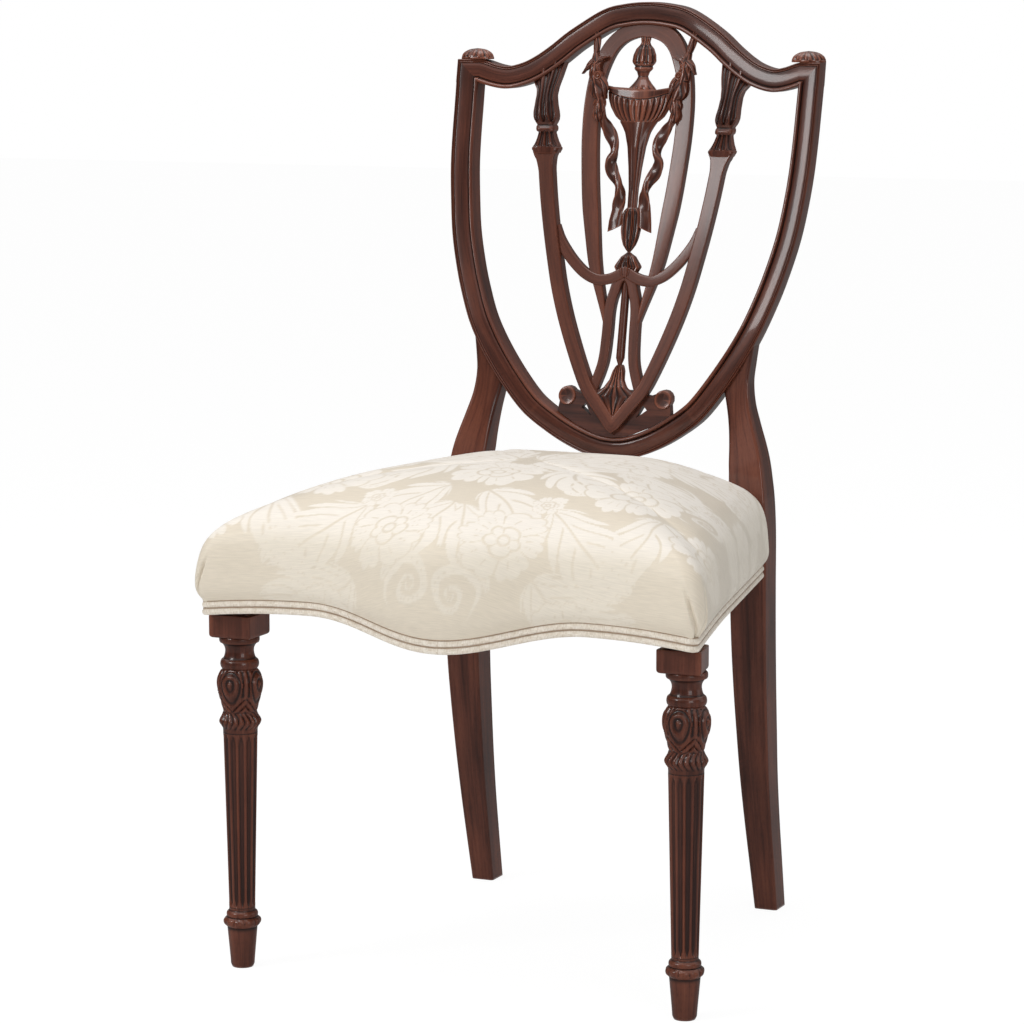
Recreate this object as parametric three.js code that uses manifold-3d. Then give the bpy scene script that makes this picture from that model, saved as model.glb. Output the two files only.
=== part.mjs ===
// A shield back side chair: turned and fluted front legs, sabre rear legs, a serpentine seat
// upholstered over its rails, and a moulded shield with a carved urn splat.
// Millimetres. X runs to the right as the chair is seen from the front, Y to the back, Z up.
// Left and right are as seen from the front.

import * as THREE from 'three';
import { mergeVertices } from 'three/addons/utils/BufferGeometryUtils.js';
import Module from 'manifold-3d';

const wasm = await Module();
wasm.setup();

// Fits shared by all the joints
const jointGap = 0.3;
const cutOverrun = 6;

// Seat frame and upholstery; the welt's height over the front legs sets the seat's height
const seatRailHeight = 368;
const railReveal = 4;
const railDepth = 52;
const railBase = seatRailHeight + railReveal;
const railTop = railBase + railDepth;
const railThickness = 22;
const seatFrontLine = -28;
const seatBow = 26;
const seatBowReach = 147;
const seatCornerFlare = 10;
const seatHalfWidth = 263;
const seatTaperAngle = THREE.MathUtils.degToRad(11.5);
const seatCornerRadius = 9;
const weltRadius = 3.4;
const weltBowDrop = 23;
const weltCornerDrop = 6;
const tenonLength = 16;
const tenonThickness = 9;
const tenonShoulder = 8;
const boardThickness = 12;
const crownRise = 77;
const crownHeight = railTop + crownRise;
const sideBulge = 6;
const skirtThickness = 3.2;
const dustCoverThickness = 1.2;
const cornerBlockReach = 56;
const cornerBlockHeight = 34;
const screwRadius = 2;
const screwHeadRadius = 4.2;
const screwLength = 30;
const sideSlope = Math.tan(seatTaperAngle);

// Front legs: a block above, flush with the seat's side, and a turned and fluted shaft below
const blockWidth = 46;
const blockDepth = 45;
const blockInset = 1.6;
const blockShow = 30.5;
const blockBase = seatRailHeight - blockShow;
const blockRebateDrop = 1.5;
const blockRebateHeight = seatRailHeight - weltCornerDrop - blockRebateDrop;
const blockRebate = 2 * weltRadius + 4 * jointGap;
const frontLegReach = seatHalfWidth - blockInset - blockWidth / 2;
const frontLegLine = 3;
const fluteCount = 12;
const fluteDepth = 1.7;

// Rear legs
const rearLegWidth = 39;
const rearLegDepth = 35.5;
const rearLegLine = 369;
const rearLegOverhang = 1;
const rearLegSeatX = seatHalfWidth - sideSlope * (rearLegLine - seatFrontLine);
const rearLegCentre = rearLegSeatX + rearLegOverhang - rearLegWidth / 2;
const rearLegSplay = 60;
const kneeRise = 22;
const rearLegKnee = railTop + kneeRise;

// Shield frame: the inner edge is the driving outline
const shieldClearance = 2;
const shieldSill = crownHeight + shieldClearance;
const shieldHalfWidth = 182;
const shieldRise = 433;
const frameWidth = 24;
const frameDepth = 21;
const beadWidth = 4;
const beadRise = 2.2;
const backBend = 850;
const rosetteHeight = 12;
const rosetteHalfWidth = 19.5;
const dowelRadius = 4;
const dowelLength = 36;

// Splat: everything inside the shield, on one raked and bent sheet
const splatFoot = 393;
const splatFootRise = 9;
const splatFootHeight = shieldSill + splatFootRise;
const splatRake = 0.2075;
const ribWidth = 13.6;
const ribDepth = 13.5;
const capitalWidth = 26.5;
const hoopWidth = 17.8;
const hoopSetback = 4;
const hoopDepth = 11;
const lyreWidth = 11;
const festoonWidth = 11.3;
const festoonSetback = 3;
const festoonDepth = 7.5;
const coreSetback = 11.5;
const urnHalfWidth = 40;
const stemHalfWidth = 5.6;
const lidRadius = 13.2;
const bracketDepth = 6.4;
const ribbonWidth = 9.5;
const rodRadius = 4.8;
const scrollRadius = 9.8;
const shoeSetback = 4.8;
const shoeDepth = 9.5;

const turnSteps = 24;

// Finishes
const mahogany = () => new THREE.MeshStandardMaterial({ color: 0x4a1f16, roughness: 0.35, metalness: 0 });
const carvedMahogany = () => new THREE.MeshStandardMaterial({ color: 0x3a1610, roughness: 0.4, metalness: 0 });
const hiddenBeech = () => new THREE.MeshStandardMaterial({ color: 0xb08a5c, roughness: 0.7, metalness: 0 });
const damask = () => new THREE.MeshStandardMaterial({ color: 0xe6dccb, roughness: 0.75, metalness: 0 });
const weltCloth = () => new THREE.MeshStandardMaterial({ color: 0xe9e0d2, roughness: 0.85, metalness: 0 });
const blackCambric = () => new THREE.MeshStandardMaterial({ color: 0x1d1c1b, roughness: 0.95, metalness: 0 });
const screwSteel = () => new THREE.MeshStandardMaterial({ color: 0x9a9a98, roughness: 0.4, metalness: 0.9 });

// Small helpers

// Reads a smooth line through [place, value] rows at a place between the first and the last
function smoothAt(rows, at) {
  const last = rows.length - 1;
  let index = rows.findIndex(([place]) => place > at) - 1;
  if (index < 0) index = at <= rows[0][0] ? 0 : last - 1;
  const slopeAt = (i) => {
    const before = rows[Math.max(i - 1, 0)];
    const after = rows[Math.min(i + 1, last)];
    return (after[1] - before[1]) / (after[0] - before[0]);
  };
  const [from, to] = [rows[index], rows[index + 1]];
  const span = to[0] - from[0];
  const share = THREE.MathUtils.clamp((at - from[0]) / span, 0, 1);
  const square = share * share;
  const cube = square * share;
  return (2 * cube - 3 * square + 1) * from[1] + (cube - 2 * square + share) * span * slopeAt(index)
    + (3 * square - 2 * cube) * to[1] + (cube - square) * span * slopeAt(index + 1);
}

// Turns every face outwards
function facingOut(geometry) {
  const at = geometry.attributes.position;
  const index = geometry.index.array;
  const [a, b, c] = [new THREE.Vector3(), new THREE.Vector3(), new THREE.Vector3()];
  let volume = 0;
  for (let i = 0; i < index.length; i += 3) {
    a.fromBufferAttribute(at, index[i]);
    b.fromBufferAttribute(at, index[i + 1]);
    c.fromBufferAttribute(at, index[i + 2]);
    volume += a.dot(b.cross(c));
  }
  if (volume < 0) {
    for (let i = 0; i < index.length; i += 3) {
      [index[i], index[i + 1]] = [index[i + 1], index[i]];
    }
  }
  return geometry;
}

// Joins rings of equal count into one closed body, each end closed round its middle
function loft(rings) {
  const count = rings[0].length;
  const middleOf = (ring) =>
    ring.reduce((sum, point) => sum.add(point), new THREE.Vector3()).divideScalar(count);
  const ends = [middleOf(rings[0]), middleOf(rings.at(-1))];
  const positions = [...rings.flat(), ...ends].flatMap((point) => point.toArray());
  const lastRing = (rings.length - 1) * count;
  const [firstMiddle, lastMiddle] = [lastRing + count, lastRing + count + 1];
  const index = [];
  for (let i = 0; i < count; i += 1) {
    const next = (i + 1) % count;
    for (let start = 0; start < lastRing; start += count) {
      const [near, nearNext] = [start + i, start + next];
      const [far, farNext] = [near + count, nearNext + count];
      index.push(near, nearNext, farNext, near, farNext, far);
    }
    index.push(next, i, firstMiddle, lastRing + i, lastRing + next, lastMiddle);
  }
  const geometry = new THREE.BufferGeometry();
  geometry.setAttribute('position', new THREE.Float32BufferAttribute(positions, 3));
  geometry.setIndex(index);
  return facingOut(geometry);
}

// Moves between drawn bodies and solids that can be cut
function solidOf(geometry) {
  const bare = geometry.clone();
  bare.deleteAttribute('normal');
  bare.deleteAttribute('uv');
  const merged = mergeVertices(bare);
  const mesh = new wasm.Mesh({
    numProp: 3,
    vertProperties: new Float32Array(merged.attributes.position.array),
    triVerts: new Uint32Array(merged.index.array),
  });
  return new wasm.Manifold(mesh);
}

function geometryOf(solid) {
  const mesh = solid.getMesh();
  const geometry = new THREE.BufferGeometry();
  geometry.setAttribute('position', new THREE.Float32BufferAttribute(mesh.vertProperties, 3));
  geometry.setIndex(new THREE.Uint32BufferAttribute(mesh.triVerts, 1));
  return geometry;
}

// Cuts a body by its neighbours and keeps the largest piece that is left
function cutFrom(geometry, ...cutters) {
  const cut = cutters.reduce((solid, cutter) => solid.subtract(solidOf(cutter)), solidOf(geometry));
  const pieces = cut.decompose().sort((one, other) => other.volume() - one.volume());
  return geometryOf(pieces[0]);
}

const joined = (geometry, ...others) =>
  geometryOf(others.reduce((solid, other) => solid.add(solidOf(other)), solidOf(geometry)));

// The same body on the left side of the chair
function mirrored(geometry) {
  const copy = geometry.clone();
  copy.scale(-1, 1, 1);
  return facingOut(copy.index ? copy : mergeVertices(copy));
}

const doubled = (geometry) => [geometry, mirrored(geometry)];

// A box from its lowest to its highest corner
function boxBetween(low, high) {
  const box = new THREE.BoxGeometry(high[0] - low[0], high[1] - low[1], high[2] - low[2]);
  box.translate(...low.map((value, axis) => (value + high[axis]) / 2));
  return box;
}

// A straight peg from one point to another
function pegBetween(from, to, radius, sides = 10) {
  const along = to.clone().sub(from);
  const peg = new THREE.CylinderGeometry(radius, radius, along.length(), sides);
  peg.applyQuaternion(new THREE.Quaternion().setFromUnitVectors(new THREE.Vector3(0, 1, 0), along.normalize()));
  return peg.translate(...from.clone().add(to).multiplyScalar(1 / 2).toArray());
}

const plainSection = (width, front, depth, chamfer) => [
  [-width / 2 + chamfer, front], [width / 2 - chamfer, front],
  [width / 2, front + chamfer], [width / 2, front + depth - chamfer],
  [width / 2 - chamfer, front + depth], [-width / 2 + chamfer, front + depth],
  [-width / 2, front + depth - chamfer], [-width / 2, front + chamfer],
];

// The back's two sheets, as the Y of a place in the front view

const shieldProfileShares = [
  [-0.06, -0.003], [0.14, 0.011], [0.27, 0.035], [0.363, 0.062], [0.547, 0.1155],
  [0.686, 0.148], [0.871, 0.19], [1, 0.212], [1.06, 0.214],
];
const shieldLine = 397;

function shieldFace(x, z) {
  const share = (z - shieldSill) / shieldRise;
  return shieldLine + smoothAt(shieldProfileShares, share) * shieldRise - x * x / (2 * backBend);
}

const splatFace = (x, z) => splatFoot + splatRake * (z - splatFootHeight) - x * x / (2 * backBend);

// A place in the front view from its shares of the shield
const backPlace = ([acrossShare, upShare]) =>
  new THREE.Vector2(acrossShare * shieldHalfWidth, shieldSill + upShare * shieldRise);
const backCurve = (shares) => new THREE.SplineCurve(shares.map(backPlace));

// A bar that follows a curve of the front view, its sections set square to the curve
function barAlong(curve, { from = 0, to = 1, steps, sectionAt, face, firstAcross, lastAcross }) {
  const rings = [];
  for (let step = 0; step <= steps; step += 1) {
    const share = from + (to - from) * step / steps;
    const centre = curve.getPointAt(share);
    const tangent = curve.getTangentAt(share);
    let across = new THREE.Vector2(-tangent.y, tangent.x);
    if (step === 0 && firstAcross) across = firstAcross;
    if (step === steps && lastAcross) across = lastAcross;
    rings.push(sectionAt((share - from) / (to - from)).map(([u, w]) => {
      const x = centre.x + across.x * u;
      const z = centre.y + across.y * u;
      return new THREE.Vector3(x, face(x, z) + w, z);
    }));
  }
  return loft(rings);
}

// A flat outline of the front view, with holes, given thickness and laid on a sheet
function plateOn(outline, holes, { front, depth, face }) {
  const shape = new THREE.Shape(outline.map(([x, z]) => new THREE.Vector2(x, z)));
  shape.holes = holes.map((hole) => new THREE.Path(hole.map(([x, z]) => new THREE.Vector2(x, z))));
  const plate = mergeVertices(barePlate(shape, depth));
  const at = plate.attributes.position;
  for (let i = 0; i < at.count; i += 1) {
    const [x, z, w] = [at.getX(i), at.getY(i), at.getZ(i)];
    at.setXYZ(i, x, face(x, z) + front + w, z);
  }
  return facingOut(plate);
}

function barePlate(shape, depth) {
  const plate = new THREE.ExtrudeGeometry(shape, { depth, bevelEnabled: false, curveSegments: 6 });
  plate.deleteAttribute('normal');
  plate.deleteAttribute('uv');
  return plate;
}

// A round or oval body on the splat: rows of [height share, half width, half depth, middle depth]
function turnedOnSplat(rows, sides, centreX = () => 0) {
  const circle = Array.from({ length: sides }, (_, i) => {
    const angle = 2 * Math.PI * (i + 1 / 2) / sides;
    return [Math.cos(angle), Math.sin(angle)];
  });
  const rings = rows.map(([height, halfWidth, halfDepth, middle]) => circle.map(([u, v]) => {
    const x = centreX(height) + u * halfWidth;
    return new THREE.Vector3(x, splatFace(x, height) + middle + v * halfDepth, height);
  }));
  return loft(rings);
}

// Front legs

// Rows of [share of the height under the block, share of half the block's width]
const legTurningShares = [
  [0, 0.5], [0.124, 0.66], [0.126, 0.7], [0.133, 0.8], [0.144, 0.826], [0.151, 0.72], [0.154, 0.66],
  [0.161, 0.68], [0.169, 0.65], [0.173, 0.57],
];
const legFluteShares = [[0.184, 0.568], [0.711, 0.752]];
const legNeckShares = [
  [0.729, 0.756], [0.735, 0.82], [0.747, 0.882], [0.761, 0.8], [0.776, 0.73], [0.8, 0.8], [0.827, 0.92],
  [0.859, 0.978], [0.883, 0.93], [0.904, 0.752], [0.91, 0.81], [0.9215, 0.835], [0.932, 0.795],
  [0.9365, 0.708], [0.957, 0.62], [0.975, 0.69], [0.985, 0.84], [0.9985, 0.855],
];

function frontLegRings() {
  const circle = (radius, height) => Array.from({ length: turnSteps }, (_, i) => {
    const angle = 2 * Math.PI * i / turnSteps;
    return new THREE.Vector3(radius * Math.cos(angle), radius * Math.sin(angle), height);
  });
  const fluted = (radius, height) => Array.from({ length: turnSteps }, (_, i) => {
    const inFlute = i % (turnSteps / fluteCount) === 1;
    const angle = 2 * Math.PI * i / turnSteps;
    const reach = inFlute ? radius - fluteDepth : radius;
    return new THREE.Vector3(reach * Math.cos(angle), reach * Math.sin(angle), height);
  });
  const blockRing = (rebate, height) => Array.from({ length: turnSteps }, (_, i) => {
    const angle = 2 * Math.PI * (i + 1 / 2) / turnSteps;
    const stretch = 1 / Math.max(Math.abs(Math.cos(angle)), Math.abs(Math.sin(angle)));
    const across = blockWidth / 2 * stretch * Math.cos(angle);
    const y = blockDepth / 2 * stretch * Math.sin(angle);
    const outer = blockWidth / 2 - sideSlope * (y + blockDepth / 2) - rebate;
    return new THREE.Vector3(across > 0 ? across * outer / (blockWidth / 2) : across, y, height);
  });
  const sized = (ringOf) => ([up, out]) => ringOf(out * blockWidth / 2, up * blockBase);
  return [
    ...legTurningShares.map(sized(circle)),
    ...legFluteShares.map(sized(fluted)),
    ...legNeckShares.map(sized(circle)),
    blockRing(0, blockBase), blockRing(0, blockRebateHeight),
    blockRing(blockRebate, blockRebateHeight), blockRing(blockRebate, railTop),
  ];
}

function frontLeg() {
  return loft(frontLegRings()).translate(frontLegReach, frontLegLine, 0);
}

// Seat plan: the outer line of the welt, seen from above

const bowShare = (x) => (Math.abs(x) < seatBowReach ? (1 + Math.cos(Math.PI * x / seatBowReach)) / 2 : 0);
const flareShare = (x) => Math.max((Math.abs(x) - seatBowReach) / (seatHalfWidth - seatBowReach), 0) ** 2;
const frontLine = (x) => seatFrontLine - seatBow * bowShare(x) - seatCornerFlare * flareShare(x);
const weltHeight = (x, y) => {
  const onFront = THREE.MathUtils.clamp(1 - (y - seatFrontLine) / seatBowReach, 0, 1);
  return seatRailHeight - weltBowDrop * bowShare(x) * onFront - weltCornerDrop * flareShare(x) * onFront;
};
const sideLine = (y) => seatHalfWidth - sideSlope * (y + seatCornerRadius);

// One side of the plan, from the middle of the front to the rear leg
function halfPlan() {
  const points = [];
  const frontSteps = 12;
  const cornerSteps = 4;
  const sideSteps = 8;
  const cornerX = seatHalfWidth - seatCornerRadius;
  for (let i = 0; i <= frontSteps; i += 1) {
    const x = cornerX * i / frontSteps;
    points.push([x, frontLine(x)]);
  }
  const cornerCentre = [cornerX, frontLine(cornerX) + seatCornerRadius];
  for (let i = 1; i <= cornerSteps; i += 1) {
    const angle = -Math.PI / 2 + (Math.PI / 2 + seatTaperAngle) * i / cornerSteps;
    points.push([
      cornerCentre[0] + seatCornerRadius * Math.cos(angle),
      cornerCentre[1] + seatCornerRadius * Math.sin(angle),
    ]);
  }
  const [startX, startY] = points.at(-1);
  for (let i = 1; i <= sideSteps; i += 1) {
    const y = startY + (rearLegLine - jointGap - startY) * i / sideSteps;
    points.push([startX + (sideLine(y) - sideLine(startY)), y]);
  }
  return points;
}

// Moves an open line sideways; positive goes outwards
function offsetLine(points, distance) {
  return points.map(([x, y], i) => {
    const [beforeX, beforeY] = points[Math.max(i - 1, 0)];
    const [afterX, afterY] = points[Math.min(i + 1, points.length - 1)];
    const length = Math.hypot(afterX - beforeX, afterY - beforeY);
    return [x + distance * (afterY - beforeY) / length, y - distance * (afterX - beforeX) / length];
  });
}

// The whole line, from the left rear leg round the front to the right one
function wholePlan(distance = 0) {
  const half = offsetLine(halfPlan(), distance);
  half[0][0] = 0;
  const left = half.slice(1).reverse().map(([x, y]) => [-x, y]);
  return [...left, ...half];
}

const railFace = -(2 * weltRadius + jointGap);

// Rails

const backRailRear = rearLegLine + rearLegDepth - 4 * jointGap;
const railBackLine = frontLegLine + blockDepth / 2 - railThickness / 2;
const blockInnerX = frontLegReach - blockWidth / 2;

function frontRail() {
  const steps = 16;
  const reach = blockInnerX - jointGap;
  const rings = [];
  for (let i = 0; i <= steps; i += 1) {
    const x = -reach + 2 * reach * i / steps;
    const front = frontLine(x) - railFace + 2 * jointGap;
    const base = weltHeight(x, front) + jointGap;
    const section = [[front, base], [railBackLine, base], [railBackLine, railTop], [front, railTop]];
    rings.push(section.map(([y, z]) => new THREE.Vector3(x, y, z)));
  }
  return joined(loft(rings), frontTenon(1, 0), frontTenon(-1, 0));
}

// A tenon on the front rail's end, or with growth its mortise
function frontTenon(side, growth) {
  const root = blockInnerX - railThickness;
  const tip = blockInnerX + tenonLength;
  const middle = frontLegLine - blockDepth / 4;
  const [low, high] = side > 0 ? [root, tip + growth] : [-tip - growth, -root];
  return boxBetween(
    [low, middle - tenonThickness / 2 - growth, railBase + tenonShoulder - growth],
    [high, middle + tenonThickness / 2 + growth, railTop - tenonShoulder + growth],
  );
}

// Where a side rail runs: its outer face at the front and at the back
const sideRailFront = frontLegLine + blockDepth / 2;
const sideRailRun = {
  frontY: sideRailFront + jointGap,
  rearY: rearLegLine - jointGap,
};
const sideRailOuter = (y) => halfPlanSideX(y) + railFace;

function halfPlanSideX(y) {
  const points = halfPlan();
  const [endX, endY] = points.at(-1);
  return endX + (sideLine(y) - sideLine(endY));
}

function sideRail() {
  const { frontY, rearY } = sideRailRun;
  const outer = [[sideRailOuter(frontY), frontY], [sideRailOuter(rearY), rearY]];
  const body = slantedBox(outer[0], outer[1], 0, railThickness, railBase, railTop);
  return joined(body, sideTenon(0));
}

// A box whose outer face runs between two plan points
function slantedBox([fromX, fromY], [toX, toY], inset, thickness, low, high) {
  const corners = [
    [fromX - inset, fromY], [toX - inset, toY], [toX - inset - thickness, toY], [fromX - inset - thickness, fromY],
  ];
  const rings = [low, high].map((z) => corners.map(([x, y]) => new THREE.Vector3(x, y, z)));
  return loft(rings);
}

// The tenons at both ends of a side rail, or with growth their mortises
function sideTenon(growth) {
  const frontY = sideRailRun.frontY - tenonLength - growth;
  const rearY = sideRailRun.rearY + tenonLength + growth;
  const inset = (railThickness - tenonThickness) / 2 - growth;
  return slantedBox(
    [sideRailOuter(frontY), frontY], [sideRailOuter(rearY), rearY], inset, tenonThickness + 2 * growth,
    railBase + tenonShoulder - growth, railTop - tenonShoulder + growth,
  );
}

const rearLegInner = rearLegCentre - rearLegWidth / 2;

function backRail(growth = 0) {
  const reach = rearLegInner - cutOverrun / 2;
  const front = backRailRear - railThickness;
  const body = boxBetween([-reach, front, railBase], [reach, backRailRear, railTop]);
  return joined(body, backTenon(growth));
}

function backTenon(growth) {
  const tip = rearLegInner + tenonLength + growth;
  const middle = backRailRear - tenonThickness;
  return boxBetween(
    [-tip, middle - tenonThickness / 2 - growth, railBase + tenonShoulder - growth],
    [tip, middle + tenonThickness / 2 + growth, railTop - tenonShoulder + growth],
  );
}

// Rear legs

// Rows of [share of the knee's height, centre shift, width, front setback, depth]; the shift and the
// width are shares of the leg's width, the setback of the splay and the depth of the leg's depth
const rearLegShares = [
  [0, 0.05, 0.65, 1, 0.83], [0.112, 0.044, 0.713, 0.783, 0.85], [0.224, 0.035, 0.772, 0.567, 0.88],
  [0.336, 0.027, 0.833, 0.38, 0.92], [0.448, 0.027, 0.895, 0.233, 0.96], [0.56, 0.025, 0.949, 0.108, 0.99],
  [0.673, 0.015, 0.995, 0.033, 1], [0.8, 0, 1.03, 0, 1], [0.92, -0.02, 1.055, 0, 1],
  [1, -0.055, 1.04, 0, 1],
];
// Rows of [share of the rise from knee to shield, blend of the inner edge, of the outer edge, of depth]
const rearLegJoinShares = [
  [0.14, 0.04, 0.14, 0.09], [0.25, 0.1, 0.29, 0.19], [0.35, 0.19, 0.5, 0.31], [0.484, 0.28, 0.84, 0.48],
  [0.614, 0.4, 1.13, 0.65], [0.745, 0.56, 1.24, 0.8], [0.86, 0.74, 1.16, 0.91], [1, 1, 1, 1],
];
const legJointInnerShare = 0.3;
const legJointOuterShare = 0.425;
const rearLegChamfer = 2;

const legSection = (inner, outer, front, back) => [
  [inner + rearLegChamfer, front], [outer - rearLegChamfer, front],
  [outer, front + rearLegChamfer], [outer, back - rearLegChamfer],
  [outer - rearLegChamfer, back], [inner + rearLegChamfer, back],
  [inner, back - rearLegChamfer], [inner, front + rearLegChamfer],
];

function rearLegBlank(growth) {
  const rings = [];
  const kneeRow = rearLegShares.at(-1);
  const sized = ([up, shift, width, setback, depth]) => {
    const centre = rearLegCentre + shift * rearLegWidth;
    const front = rearLegLine + setback * rearLegSplay;
    return {
      height: up * rearLegKnee,
      inner: centre - width * rearLegWidth / 2 - growth,
      outer: centre + width * rearLegWidth / 2 + growth,
      front: front - growth,
      back: front + depth * rearLegDepth + growth,
    };
  };
  for (const row of rearLegShares) {
    const { height, inner, outer, front, back } = sized(row);
    rings.push(legSection(inner, outer, front, back).map(([x, y]) => new THREE.Vector3(x, y, height)));
  }
  const knee = sized(kneeRow);
  const curve = frameOuterCurve();
  const clearance = new THREE.Vector2(jointGap, -jointGap);
  const jointInner = curve.getPointAt(legJointInnerShare).add(clearance);
  const jointOuter = curve.getPointAt(legJointOuterShare).add(clearance);
  const jointFront = shieldFace(jointOuter.x, jointOuter.y);
  const blend = THREE.MathUtils.lerp;
  for (const [rise, innerBlend, outerBlend, depthBlend] of rearLegJoinShares) {
    const inner = blend(knee.inner, jointInner.x, innerBlend);
    const outer = blend(knee.outer, jointOuter.x, outerBlend);
    const innerHeight = blend(knee.height, jointInner.y, rise);
    const outerHeight = blend(knee.height, jointOuter.y, rise);
    const front = blend(knee.front, jointFront, depthBlend);
    const back = front + blend(rearLegDepth, frameDepth, depthBlend);
    rings.push(legSection(inner, outer, front, back).map(([x, y]) => {
      const z = blend(innerHeight, outerHeight, (x - inner) / (outer - inner));
      return new THREE.Vector3(x, y, z);
    }));
  }
  return loft(rings);
}

const rearLeg = () => cutFrom(rearLegBlank(0), shieldStileBlank(frameRoom));

// Shield frame

const shieldInnerShares = [
  [0, 0], [0.099, 0.0055], [0.238, 0.029], [0.374, 0.0635], [0.489, 0.103], [0.646, 0.19], [0.768, 0.275],
  [0.849, 0.357], [0.904, 0.43], [0.945, 0.501], [0.971, 0.575], [0.989, 0.649], [0.997, 0.723],
  [1, 0.797], [1.003, 0.871], [1.004, 0.9115],
];
const bottomJointShare = 0.2;

// The line through the middle of the shield frame, or with a shift a line beside it
function frameCurve(shift) {
  const inner = backCurve(shieldInnerShares);
  const steps = 40;
  const points = [];
  for (let i = 0; i <= steps; i += 1) {
    const place = inner.getPointAt(i / steps);
    const tangent = inner.getTangentAt(i / steps);
    if (i === 0) tangent.set(1, 0);
    points.push(new THREE.Vector2(place.x + tangent.y * shift, place.y - tangent.x * shift));
  }
  return new THREE.SplineCurve(points);
}
const frameOuterCurve = () => frameCurve(frameWidth + jointGap);

// Beads stand at both edges, with a shallow hollow between
const halfFrame = frameWidth / 2;
const mouldedSection = [
  [-halfFrame, beadRise], [-halfFrame + beadWidth / 4, 0], [-halfFrame + beadWidth * 3 / 4, 0],
  [-halfFrame + beadWidth, beadRise * 3 / 4], [-halfFrame + 2 * beadWidth, beadRise],
  [halfFrame - 2 * beadWidth, beadRise], [halfFrame - beadWidth, beadRise * 3 / 4],
  [halfFrame - beadWidth * 3 / 4, 0], [halfFrame - beadWidth / 4, 0], [halfFrame, beadRise],
  [halfFrame, frameDepth - beadWidth / 2], [halfFrame - beadWidth / 2, frameDepth],
  [-halfFrame + beadWidth / 2, frameDepth], [-halfFrame, frameDepth - beadWidth / 2],
];
// The space that the moulded section takes up, for cutting what meets it
const frameRoom = plainSection(frameWidth + 2 * jointGap, -jointGap, frameDepth + 2 * jointGap, 0.01);

function shieldStileBlank(section) {
  const curve = frameCurve(frameWidth / 2);
  const gapShare = jointGap / curve.getLength();
  return barAlong(curve, {
    from: bottomJointShare + gapShare / 2,
    to: 1,
    steps: 14,
    sectionAt: () => section,
    face: shieldFace,
    lastAcross: new THREE.Vector2(-1, 0),
  });
}

function shieldBottomRail(section) {
  const half = frameCurve(frameWidth / 2);
  const count = 10;
  const right = Array.from({ length: count + 1 }, (_, i) => half.getPointAt(bottomJointShare * i / count));
  const left = right.slice(1).reverse().map((point) => new THREE.Vector2(-point.x, point.y));
  const curve = new THREE.SplineCurve([...left, ...right]);
  const gapShare = jointGap / curve.getLength();
  const endTangent = half.getTangentAt(bottomJointShare);
  return barAlong(curve, {
    from: gapShare / 2,
    to: 1 - gapShare / 2,
    steps: 8,
    sectionAt: () => section,
    face: shieldFace,
    firstAcross: new THREE.Vector2(endTangent.y, endTangent.x),
    lastAcross: new THREE.Vector2(-endTangent.y, endTangent.x),
  });
}

const crestShares = [
  [0, 1.0266], [0.13, 1.022], [0.253, 1.0085], [0.431, 0.963], [0.542, 0.926], [0.632, 0.899],
  [0.72, 0.8795], [0.824, 0.868], [0.91, 0.872], [1, 0.8845],
];
const stileInnerX = shieldInnerShares.at(-2)[0] * shieldHalfWidth;

function crestRail(section) {
  const half = crestShares.map(backPlace);
  half.at(-1).x = stileInnerX - jointGap;
  const left = half.slice(1).reverse().map((point) => new THREE.Vector2(-point.x, point.y));
  const upright = new THREE.Vector2(0, 1);
  return barAlong(new THREE.SplineCurve([...left, ...half]), {
    steps: 22,
    sectionAt: () => section,
    face: shieldFace,
    firstAcross: upright,
    lastAcross: upright,
  });
}

// Dowels across the frame's joints: three on each side, right side given
function frameDowels(growth) {
  const curve = frameCurve(frameWidth / 2);
  const half = dowelLength / 2 + growth;
  const peg = (place, along) => {
    const at = (shift) => {
      const [x, z] = [place.x + along.x * shift, place.y + along.y * shift];
      return new THREE.Vector3(x, shieldFace(x, z) + frameDepth / 2, z);
    };
    return pegBetween(at(-half), at(half), dowelRadius + growth);
  };
  const legPlace = frameOuterCurve().getPointAt((legJointInnerShare + legJointOuterShare) / 2);
  const topPlace = new THREE.Vector2(stileInnerX, crestShares.at(-1)[1] * shieldRise + shieldSill);
  const legTangent = frameOuterCurve().getTangentAt((legJointInnerShare + legJointOuterShare) / 2);
  return {
    foot: peg(curve.getPointAt(bottomJointShare), curve.getTangentAt(bottomJointShare)),
    leg: peg(legPlace, new THREE.Vector2(-legTangent.y, legTangent.x).multiplyScalar(1 / 2)),
    top: peg(topPlace, new THREE.Vector2(1 / 2, 0)),
  };
}

// Carved rosette that caps the ear
const rosetteRowShares = [[0, 0.96], [0.18, 1], [0.45, 0.94], [0.7, 0.76], [0.9, 0.46], [1, 0.16]];

function earRosette() {
  const sides = 20;
  const curve = frameCurve(frameWidth / 2);
  const top = curve.getPointAt(1);
  const base = top.y + jointGap;
  const centreX = top.x + beadWidth / 4 - (rosetteHalfWidth - frameWidth / 2);
  const circle = Array.from({ length: sides }, (_, i) => {
    const angle = 2 * Math.PI * (i + 1 / 2) / sides;
    return [Math.cos(angle), Math.sin(angle)];
  });
  const rings = rosetteRowShares.map(([up, out]) => circle.map(([u, v]) => {
    const x = centreX + u * out * rosetteHalfWidth;
    const y = shieldFace(centreX, base) + frameDepth / 2 + v * out * (frameDepth / 2 + beadRise / 2);
    return new THREE.Vector3(x, y, base + up * rosetteHeight);
  }));
  return cutFrom(loft(rings), crestRail(frameRoom));
}

// Ribs with their carved capitals

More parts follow.
